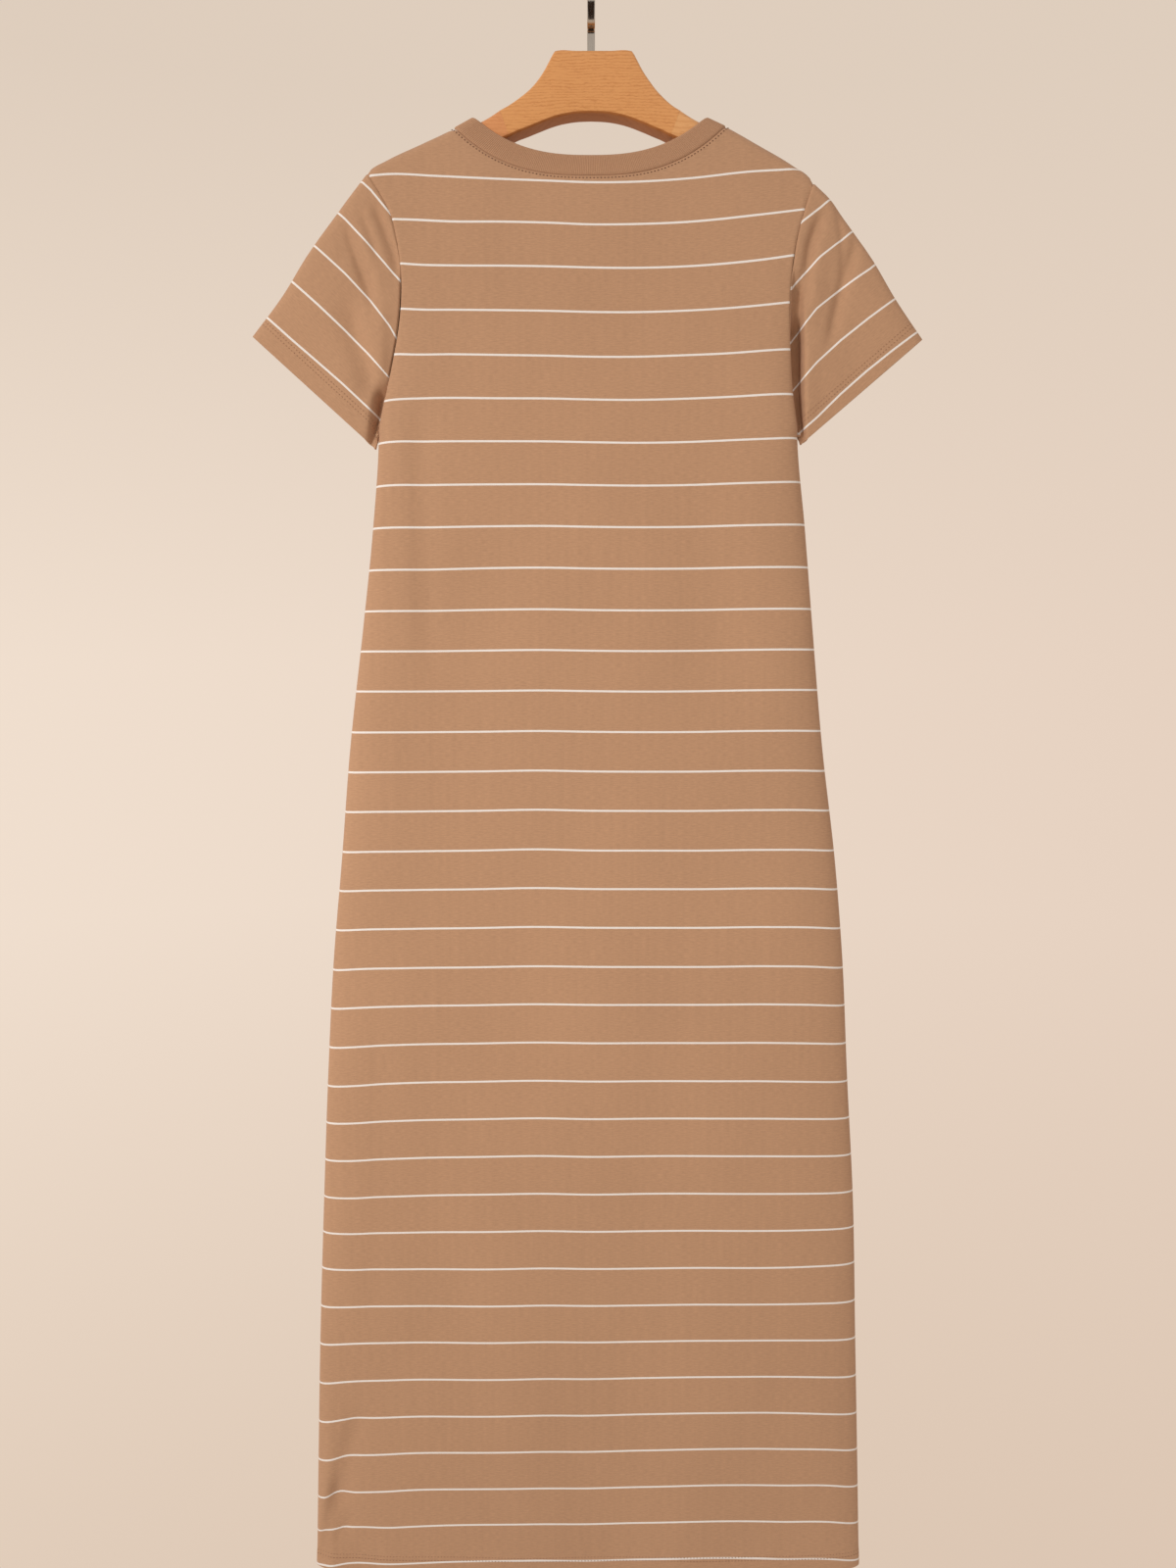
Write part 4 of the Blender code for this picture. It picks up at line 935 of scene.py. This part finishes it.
def sleeve_stitch_lines(side):
    """Two rows above a sleeve's hem, all round."""
    shape = SleeveShape(side)
    lines = []
    face, share = round_place(np.linspace(ROUND_START, 2.0 - ROUND_START, ROUND_POINTS))
    hem = shape.points(face, np.ones(share.shape), share)
    for rise in HEM_STITCHES:
        t = np.full(share.shape, 0.9)
        for _ in range(30):
            gap, ahead = (np.linalg.norm(shape.points(face, at, share) - hem, axis=1)
                          for at in (t, t - T_STEP))
            t = np.clip(t + (gap - rise) / (ahead - gap) * T_STEP, 0.3, 0.999)
        points = shape.points(face, t, share)
        down = shape.points(face, t + 5 * T_STEP, share) - points
        normal = np.cross(np.gradient(points, axis=0), down)
        normal /= np.linalg.norm(normal, axis=1)[:, None]
        lines.append((points, facing(normal, points - points.mean(axis=0))))
    return lines


# ---------------------------------------------------------------- hanger
WOOD_STEP = 0.0020
WOOD_CORNER = 6               # steps round each edge of the wood
WOOD_SHARP = 50.0
WOOD_EDGE_MOST = 0.45         # of its height, the most that an edge's rounding takes
GLUE_LINE = 0.00004
LAP_LEAN = 0.0085             # how far the glued joint leans over its height
LAP_INNER_X = 0.055           # where that lean has faded out on either side
LAP_OUTER_X = 0.095
WOOD_SKEW = 0.0031            # how far the neck of the hanger stands towards +X
WOOD_SKEW_FOOT = 0.3          # share of that at its lower edge
WOOD_SKEW_END = 0.028         # from the joint inwards, the length over which that fades
# the faces of a section that look down take a darker colour: painted shade
WOOD_SHADED_FACES = range(WOOD_CORNER + 2, 3 * WOOD_CORNER)    # the faces of a section that look down


def wood_rows(table, lean_end):
    """Even sections of the wood with the slopes of their upper and lower edges and their lean."""
    start, end = table[0].x, table[-1].x
    x = np.linspace(start, end, round((end - start) / WOOD_STEP) + 1)
    columns = [table_curve(table, "x", key)(x) for key in ("top", "bottom", "edge")]
    slopes = [np.gradient(column, x) for column in columns[:2]]
    lean = LAP_LEAN * smoothstep((lean_end - x) / (lean_end - WOOD_JOINT_X))
    return [(Wood(*values[:4]), *values[4:]) for values in zip(x, *columns, *slopes, lean)]


def wood_section(side, row, slope_top, slope_bottom, shear):
    """One upright section: a rectangle with rounded edges, leaning across its height."""
    ring = []
    height = row.top - row.bottom
    for across, up in ((1, 1), (1, -1), (-1, -1), (-1, 1)):
        slope = slope_top if up > 0 else slope_bottom
        rise = min(row.edge / math.cos(math.atan(slope)), height * WOOD_EDGE_MOST)
        for step in range(WOOD_CORNER + 1):
            angle = step / WOOD_CORNER * math.pi / 2
            if across * up < 0:
                angle = math.pi / 2 - angle
            y = across * (WOOD_HALF_THICKNESS - row.edge * (1.0 - math.sin(angle)))
            inset = rise * (1.0 - math.cos(angle))
            z = row.top - inset if up > 0 else row.bottom + inset
            lean = shear * ((z - row.bottom) / height - 0.5)
            ring.append((side * (row.x + lean), y, z + (slope_top + slope_bottom) * lean / 2))
    return ring


def skewed_section(side, row, *shape):
    """A section of the middle piece, moved towards +X at its top and less at its bottom."""
    shift = WOOD_SKEW * smoothstep((WOOD_JOINT_X - row.x) / WOOD_SKEW_END)
    height = row.top - row.bottom
    return [(x + shift * (WOOD_SKEW_FOOT + (1 - WOOD_SKEW_FOOT) * (z - row.bottom) / height), y, z)
            for x, y, z in wood_section(side, row, *shape)]


def loft_piece(name, rings, materials, sharp, under=()):
    """A solid through rings of points; the sides named in under take the second material, which on
    the hanger is a darker colour of painted shade.
    """
    sides = len(rings[0])
    slots = [int(j in under) for j in range(sides)] * (len(rings) - 1) + [0, 0]
    return mesh_piece(name, np.concatenate(rings), tube_faces(len(rings), sides), materials,
                      slots, turn=True, sharp=sharp)


def build_hanger(centre, arms, under):
    """The three pieces of wood from their materials: the middle, then the two arms; under is a
    darker colour of painted shade for the faces that look down.
    """
    half = wood_rows(CENTRE_WOOD, LAP_INNER_X)
    rings = [skewed_section(-1, *row) for row in half[:0:-1]]
    rings += [skewed_section(1, *row) for row in half]
    pieces = [loft_piece("hanger_middle", rings, [centre, under], WOOD_SHARP, WOOD_SHADED_FACES)]
    belongs(pieces[0], "wood", "hanger_centre")
    for side, name, material in zip((-1, 1), ("left", "right"), arms):
        rings = [np.array(wood_section(side, *row)) + (side * GLUE_LINE, 0.0, 0.0)
                 for row in wood_rows(ARM_WOOD, LAP_OUTER_X)]
        arm = loft_piece(f"hanger_{name}_arm", rings, [material, under], WOOD_SHARP, WOOD_SHADED_FACES)
        belongs(arm, "wood", "hanger_arm_" + name)
        pieces.append(arm)
    return pieces


HOOK_X = 0.0010
HOOK_LOOP_RADIUS = 0.0185
HOOK_BEND_RADIUS = 0.0032
HOOK_STRIP = (0.0035, 0.0015, 0.22)    # half width, half thickness and squareness of its section
HOOK_FOOT = [                 # shank, collar and strip: rise above the wood, then their sections
    (-0.0120, (0.0024, 0.0024, 1.0)),
    (0.0000, (0.0024, 0.0024, 1.0)),
    (0.0000, (0.0039, 0.0039, 1.0)),
    (0.0003, (0.0042, 0.0042, 1.0)),
    (0.0009, (0.0042, 0.0042, 1.0)),
    (0.0012, (0.0039, 0.0039, 1.0)),
    (0.0013, (0.0035, 0.0024, 0.5)),
    (0.0060, (0.0035, 0.0019, 0.3)),
]
HOOK_TIP_ANGLE = -18.0
HOOK_TIP = [(0.0006, 0.93), (0.0010, 0.75), (0.0012, 0.45)]    # beyond the loop, and size there
HOOK_BEND_STEPS = 14
HOOK_LOOP_STEPS = 64
HOOK_SIDES = 32
HOOK_SHARP = 35.0


def build_hook(name, material):
    """An upright foot, a bend and an open loop, swept in the plane of Y and Z."""
    half_width, half_thickness, squareness = HOOK_STRIP
    loop_z = half_thickness - HOOK_LOOP_RADIUS
    reach = math.sqrt((HOOK_LOOP_RADIUS + HOOK_BEND_RADIUS) ** 2 - HOOK_BEND_RADIUS ** 2)
    bend_z = loop_z - reach
    swing = math.atan2(reach, HOOK_BEND_RADIUS)
    end = math.radians(HOOK_TIP_ANGLE)
    path = [((0.0, WOOD_TOP_Z + SEAM_GAP + rise), section) for rise, section in HOOK_FOOT]
    bend = np.linspace(0.0, swing, HOOK_BEND_STEPS)
    loop = np.linspace(math.pi + swing, end, HOOK_LOOP_STEPS)[1:]
    for centre_y, centre_z, radius, angles in (
            (-HOOK_BEND_RADIUS, bend_z, HOOK_BEND_RADIUS, bend),
            (0.0, loop_z, HOOK_LOOP_RADIUS, loop)):
        for angle in angles:
            place = (centre_y + radius * math.cos(angle), centre_z + radius * math.sin(angle))
            path.append((place, HOOK_STRIP))
    ahead = np.array([math.sin(end), -math.cos(end)])
    last = np.array(path[-1][0])
    path += [(tuple(last + ahead * step), (half_width * size, half_thickness * size, squareness))
             for step, size in HOOK_TIP]
    tangents = np.gradient(np.array([place for place, _ in path]), axis=0)
    tangents[:len(HOOK_FOOT) + 1] = (0.0, 1.0)
    tangents[-len(HOOK_TIP):] = tangents[-len(HOOK_TIP) - 2]
    tangents /= np.linalg.norm(tangents, axis=1)[:, None]
    turns = np.linspace(0, 2 * math.pi, HOOK_SIDES, endpoint=False) + math.pi / HOOK_SIDES
    rings = []
    for ((y, z), (width, thickness, square)), (ty, tz) in zip(path, tangents):
        across, out = (np.sign(wave) * np.abs(wave) ** square * size
                       for wave, size in ((np.cos(turns), width), (np.sin(turns), thickness)))
        rings.append(np.stack([HOOK_X + across, y - out * tz, z + out * ty], axis=-1))
    return loft_piece(name, rings, [material], HOOK_SHARP)


# ---------------------------------------------------------------- materials
def shade(colour, amount):
    """A colour made lighter or darker, by one amount or by one for each of its channels."""
    amounts = amount if isinstance(amount, tuple) else (amount,) * 3
    return tuple(min(c * a, 1.0) for c, a in zip(colour, amounts))


class Nodes:
    """Short ways to add shader nodes to a tree."""

    def __init__(self, tree):
        self.tree = tree

    def feed(self, socket, value):
        if isinstance(value, bpy.types.NodeSocket):
            self.tree.links.new(value, socket)
        elif isinstance(value, tuple) and socket.type == "RGBA":
            socket.default_value = (*value, 1.0)
        else:
            socket.default_value = value

    def add(self, kind, inputs=None, **settings):
        made = self.tree.nodes.new(kind)
        for key, value in settings.items():
            setattr(made, key, value)
        for key, value in (inputs or {}).items():
            self.feed(made.inputs[key], value)
        return made

    def maths(self, operation, *values, clamp=False):
        inputs = dict(enumerate(values))
        made = self.add("ShaderNodeMath", inputs, operation=operation, use_clamp=clamp)
        return made.outputs[0]

    def scaled(self, value, factor, plus=0.0, clamp=False):
        return self.maths("MULTIPLY_ADD", value, factor, plus, clamp=clamp)

    def wave(self, value, pitch, operation="SINE"):
        return self.maths(operation, self.scaled(value, 2 * math.pi / pitch))

    def noise(self, vector, scale, detail=2.0, roughness=0.55):
        """Noise of about 0 to 1, with its own frequency per metre along each axis."""
        scale = scale if isinstance(scale, tuple) else (scale,) * 3
        scaled = self.add("ShaderNodeVectorMath", {0: vector, 1: scale}, operation="MULTIPLY")
        inputs = {"Vector": scaled.outputs[0], "Scale": 1.0, "Detail": detail,
                  "Roughness": roughness}
        return self.add("ShaderNodeTexNoise", inputs).outputs["Fac"]

    def axes(self, vector):
        return self.add("ShaderNodeSeparateXYZ", {0: vector}).outputs

    def mix(self, factor, first, second):
        mixed = self.add("ShaderNodeMix", data_type="RGBA")
        for number, value in ((0, factor), (6, first), (7, second)):
            self.feed(mixed.inputs[number], value)
        return mixed.outputs[2]


class Surface(Nodes):
    """A material: its nodes, its shader's sockets and its object coordinates."""

    def __init__(self, name, roughness, metallic=0.0, **sockets):
        self.material = bpy.data.materials.new(name)
        self.material.use_nodes = True
        super().__init__(self.material.node_tree)
        self.sockets = self.tree.nodes["Principled BSDF"].inputs
        for key, value in {"Roughness": roughness, "Metallic": metallic, **sockets}.items():
            self.sockets[key.replace("_", " ")].default_value = value
        self.place = self.add("ShaderNodeTexCoord").outputs["Object"]

    def paint(self, colour, height=None, strength=0.0, distance=0.0):
        """The finished material, its colour and the relief that its height gives."""
        self.feed(self.sockets["Base Color"], colour)
        if height is not None:
            inputs = {"Strength": strength, "Distance": distance, "Height": height}
            self.feed(self.sockets["Normal"], self.add("ShaderNodeBump", inputs).outputs[0])
        return self.material


WALE_PITCH = 0.00068
COURSE_PITCH = 0.00054


def knit_material(name, colour, contrast, rib=False):
    """Jersey: rows of small loops, yarn of slightly mixed tone, faint streaks along the wales."""
    surface = Surface(name, 0.92, Sheen_Weight=0.12, Sheen_Roughness=0.5)
    knit = surface.add("ShaderNodeAttribute", attribute_name="knit").outputs["Vector"]
    along, up, _ = surface.axes(knit)
    fleck = surface.noise(knit, (170.0, 1150.0, 1.0), 3.0, 0.65)
    streak = surface.noise(knit, (230.0, 5.0, 1.0))
    cloud = surface.noise(surface.place, (14.0, 14.0, 9.0), 3.0)
    tone = surface.scaled(fleck, 0.72, surface.scaled(streak, 0.12, surface.scaled(cloud, 0.16)))
    tone = surface.scaled(tone, 2.4, -0.7, clamp=True)
    painted = surface.mix(tone, shade(colour, 1.0 - contrast), shade(colour, 1.0 + contrast))
    if rib:
        # painted shade: the hollows between the ribs take a darker colour
        ridge = surface.scaled(surface.wave(along, RIB_PITCH, "COSINE"), 0.5, 0.5, clamp=True)
        painted = surface.mix(ridge, shade(colour, 0.80), painted)
    wale = surface.wave(along, WALE_PITCH)
    course = surface.scaled(up, 2 * math.pi / COURSE_PITCH, surface.scaled(wale, 1.4))
    loops = surface.scaled(surface.maths("SINE", course), 0.5, surface.scaled(wale, 0.5))
    return surface.paint(painted, surface.scaled(fleck, 0.9, loops), 0.30, 0.00025)


def thread_material(name, colour):
    """Sewing thread: tightly twisted, with a slight gloss."""
    surface = Surface(name, 0.6, Sheen_Weight=0.15)
    twist = surface.noise(surface.place, 2200.0)
    painted = surface.mix(twist, shade(colour, 0.75), shade(colour, 1.2))
    return surface.paint(painted, twist, 0.4, 0.0002)


BEECH_EARLY = 1.06            # tones of the wood between its lines, in its lines,
BEECH_LINE = (0.80, 0.66, 0.52)
BEECH_FIBRE = (0.88, 0.78, 0.66)    # along its fibres
BEECH_PORE = (0.62, 0.45, 0.34)     # and in its pores


def wood_material(name, colour, contrast, pitch, coat=0.25):
    """Lacquered beech: wavy grain lines along X, short dark pores, and a satin coat."""
    surface = Surface(name, 0.42, Coat_Weight=coat, Coat_Roughness=0.28,
                      Specular_IOR_Level=0.1 + 1.6 * coat)
    place = surface.place
    wander = surface.noise(place, (190.0, 100.0, 330.0), 3.0, 0.75)
    drift = surface.noise(place, (9.0, 20.0, 24.0))
    _, depth, height = surface.axes(place)
    across = surface.scaled(wander, 0.0038, height)
    across = surface.scaled(drift, 0.014, across)
    across = surface.scaled(depth, 0.30, across)
    lines = surface.scaled(surface.wave(across, pitch), 0.5, 0.5, clamp=True)
    lines = surface.maths("POWER", lines, 2.6)
    broken = surface.noise(place, (60.0, 300.0, 420.0))
    lines = surface.scaled(lines, surface.scaled(broken, 3.2, -0.75, clamp=True))
    pores = surface.noise(place, (130.0, 900.0, 1050.0))
    pores = surface.scaled(pores, 6.0, -3.36, clamp=True)
    fibre = surface.noise(place, (22.0, 500.0, 700.0), 3.0)
    painted = shade(colour, BEECH_EARLY)
    for mark, share, tone in ((lines, contrast, BEECH_LINE), (fibre, 0.30, BEECH_FIBRE),
                              (pores, 0.42, BEECH_PORE)):
        painted = surface.mix(surface.scaled(mark, share, clamp=True), painted,
                              shade(colour, tone))
    return surface.paint(painted, surface.scaled(fibre, 0.5, surface.scaled(pores, -0.8)),
                         0.18, 0.0002)


def chrome_material(name):
    """Bright plated steel with fine rubbing marks along the strip."""
    surface = Surface(name, 0.14, 1.0)
    marks = surface.noise(surface.place, (2600.0, 300.0, 60.0))
    surface.feed(surface.sockets["Roughness"], surface.scaled(marks, 0.16, 0.06))
    painted = surface.mix(marks, (0.47, 0.43, 0.385), (0.70, 0.65, 0.60))
    return surface.paint(painted, marks, 0.10, 0.0001)


# ---------------------------------------------------------------- surroundings
FLOOR_Z = -2.0
FLOOR_RADIUS = 0.60
FLOOR_SIDES = 96
FLOOR_FADE = 0.45             # share of its radius over which it fades out
FLOOR_TONES = (0.78, 0.71, 0.63), (0.82, 0.75, 0.67)

WORLD_LEFT = (0.870, 0.735, 0.620)
WORLD_RIGHT = (0.790, 0.640, 0.530)
WORLD_LOW = (0.640, 0.490, 0.370)
WORLD_HIGH = (0.735, 0.615, 0.510)
WORLD_BEHIND = (0.600, 0.548, 0.492)

KEY_PLACE = Vector((-2.90, -3.10, 0.00))
KEY_AIM = Vector((0.15, 0.0, -0.70))
KEY_SIZE = 0.9
KEY_SPREAD = 50.0
KEY_POWER = 8.2
KEY_COLOUR = (1.0, 0.985, 0.960)

FLAG_HALF_WIDTH = 0.12
FLAG_Y = -0.50
FLAG_LOW = -1.60
FLAG_HIGH = 0.055
FLAG_TONES = (0.020, 0.010, 0.005), (0.035, 0.018, 0.009)

CAMERA_PLACE = (-0.00175, -1.15933, -0.59733)
CAMERA_FALL = 0.10020         # how far its view falls in one unit of length
CAMERA_SENSOR = 36.0
CAMERA_LENS = 28.125


def build_floor():
    """A pale round floor that fades out towards its edge."""
    surface = Surface("floor", 0.9)
    reach = surface.add("ShaderNodeVectorMath", {0: surface.place}, operation="LENGTH")
    solid = surface.scaled(reach.outputs["Value"], -1.0 / (FLOOR_RADIUS * FLOOR_FADE),
                           1.0 / FLOOR_FADE, clamp=True)
    surface.feed(surface.sockets["Alpha"], solid)
    material = surface.paint(surface.mix(surface.noise(surface.place, 60.0, 4.0), *FLOOR_TONES))
    turns = np.linspace(0.0, 2 * math.pi, FLOOR_SIDES, endpoint=False)
    points = np.stack([np.cos(turns), np.sin(turns), 0.0 * turns], axis=-1) * FLOOR_RADIUS
    floor = mesh_piece("floor", points, [list(range(FLOOR_SIDES))], [material])
    floor.location.z = FLOOR_Z


def build_flag():
    """A dark card that only reflections see, which shows the form of the plated hook."""
    surface = Surface("flag", 0.9)
    material = surface.paint(surface.mix(surface.noise(surface.place, 40.0), *FLAG_TONES))
    points = [(x, FLAG_Y, z) for x, z in (
        (-FLAG_HALF_WIDTH, FLAG_LOW), (FLAG_HALF_WIDTH, FLAG_LOW),
        (FLAG_HALF_WIDTH, FLAG_HIGH), (-FLAG_HALF_WIDTH, FLAG_HIGH))]
    flag = mesh_piece("flag", points, [(0, 1, 2, 3)], [material])
    for kind in ("camera", "diffuse", "shadow", "transmission", "volume_scatter"):
        setattr(flag, "visible_" + kind, False)


def build_world():
    """A warm pale wall colour by direction, lighter on the left, and a dimmer room behind."""
    world = bpy.data.worlds.new("studio")
    world.use_nodes = True
    nodes = Nodes(world.node_tree)
    x, y, z = nodes.axes(nodes.add("ShaderNodeTexCoord").outputs["Generated"])
    painted = WORLD_LEFT
    for axis, rate, plus, tone in ((x, 1.1, 0.5, WORLD_RIGHT), (z, -1.3, -0.25, WORLD_LOW),
                                   (z, 2.5, 0.0, WORLD_HIGH), (y, -1.6, 0.1, WORLD_BEHIND)):
        painted = nodes.mix(nodes.scaled(axis, rate, plus, clamp=True), painted, tone)
    nodes.feed(nodes.tree.nodes["Background"].inputs["Color"], painted)
    bpy.context.scene.world = world


def build_light():
    """One soft light from the left, which glossy surfaces don't mirror."""
    light = bpy.data.lights.new("key", "AREA")
    light.size = KEY_SIZE
    light.energy = KEY_POWER
    light.color = KEY_COLOUR
    light.spread = math.radians(KEY_SPREAD)
    lamp = add_object("key", light)
    lamp.location = KEY_PLACE
    lamp.rotation_euler = (KEY_AIM - KEY_PLACE).to_track_quat("-Z", "Y").to_euler()
    lamp.visible_camera = False
    lamp.visible_glossy = False


def build_camera():
    camera = bpy.data.cameras.new("camera")
    camera.sensor_fit = "VERTICAL"
    camera.sensor_height = CAMERA_SENSOR
    camera.lens = CAMERA_LENS
    viewer = add_object("camera", camera)
    viewer.location = CAMERA_PLACE
    viewer.rotation_euler = (math.pi / 2 - math.atan(CAMERA_FALL), 0.0, 0.0)
    bpy.context.scene.camera = viewer


# ---------------------------------------------------------------- the whole
CLOTH = (0.490, 0.277, 0.161)
STRIPE = (0.840, 0.780, 0.740)
RIB = (0.525, 0.293, 0.171)
NECK_THREAD = (0.150, 0.062, 0.030)
HEM_THREAD = (0.300, 0.150, 0.082)
BEECH = (0.690, 0.322, 0.113)
BEECH_LEFT = (0.665, 0.285, 0.110)
BEECH_RIGHT = (0.720, 0.370, 0.148)
# the underside of the wood: its darker colour is painted shade, and it has no coat
BEECH_PAINTED_SHADE = (0.390, 0.145, 0.046)
PANEL_PARTS = ["panel", "yoke_left", "yoke_right"] + [
    f"side_{side}_{part}" for side in ("left", "right") for part in ("upper", "middle", "lower")]


def belongs(piece, slot, *nodes):
    """A piece of the one body; the CAD nodes that it stands for are hidden. Its finish (slot) is
    not used.
    """
    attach(piece, "root")
    if nodes:
        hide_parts(*nodes)


def build_dress():
    jersey = [knit_material("jersey_knit", CLOTH, 0.15),
              knit_material("stripe_yarn", STRIPE, 0.05)]
    rib = knit_material("rib_knit", RIB, 0.10, rib=True)
    neck_thread = thread_material("neck_thread", NECK_THREAD)
    hem_thread = thread_material("hem_thread", HEM_THREAD)
    for face, name in ((BACK, "back"), (FRONT, "front")):
        panel = build_panel("dress_" + name, face, jersey)
        trim = [stitches("neck_stitches_" + name, [neck_stitch_line(face)], "neck", neck_thread),
                stitches("hem_stitches_" + name, hem_stitch_lines(face), "hem", hem_thread)]
        belongs(panel, "jersey", *[f"{name}_{part}" for part in PANEL_PARTS])
        for piece in trim:
            belongs(piece, "jersey")
    for side, name in ((-1, "left"), (1, "right")):
        sleeve = build_sleeve("dress_sleeve_" + name, side, jersey)
        seam = stitches("sleeve_stitches_" + name, sleeve_stitch_lines(side), "hem", hem_thread)
        belongs(sleeve, "jersey", "sleeve_" + name)
        belongs(seam, "jersey")
    band = build_neck_band("dress_neck_band", [rib])
    belongs(band, "rib", "neck_band")


def main():
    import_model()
    bpy.context.scene.view_settings.view_transform = "Standard"
    build_camera()
    build_world()
    build_floor()
    build_flag()
    build_light()
    wood = build_hanger(
        wood_material("beech", BEECH, 0.80, 0.0027),
        (wood_material("beech_left", BEECH_LEFT, 0.50, 0.0036),
         wood_material("beech_right", BEECH_RIGHT, 0.50, 0.0056)),
        wood_material("beech_under", BEECH_PAINTED_SHADE, 0.40, 0.0036, coat=0.0))
    hook = build_hook("hook_strip", chrome_material("chrome_plate"))
    belongs(hook, "chrome", "hanger_hook")
    build_dress()


main()
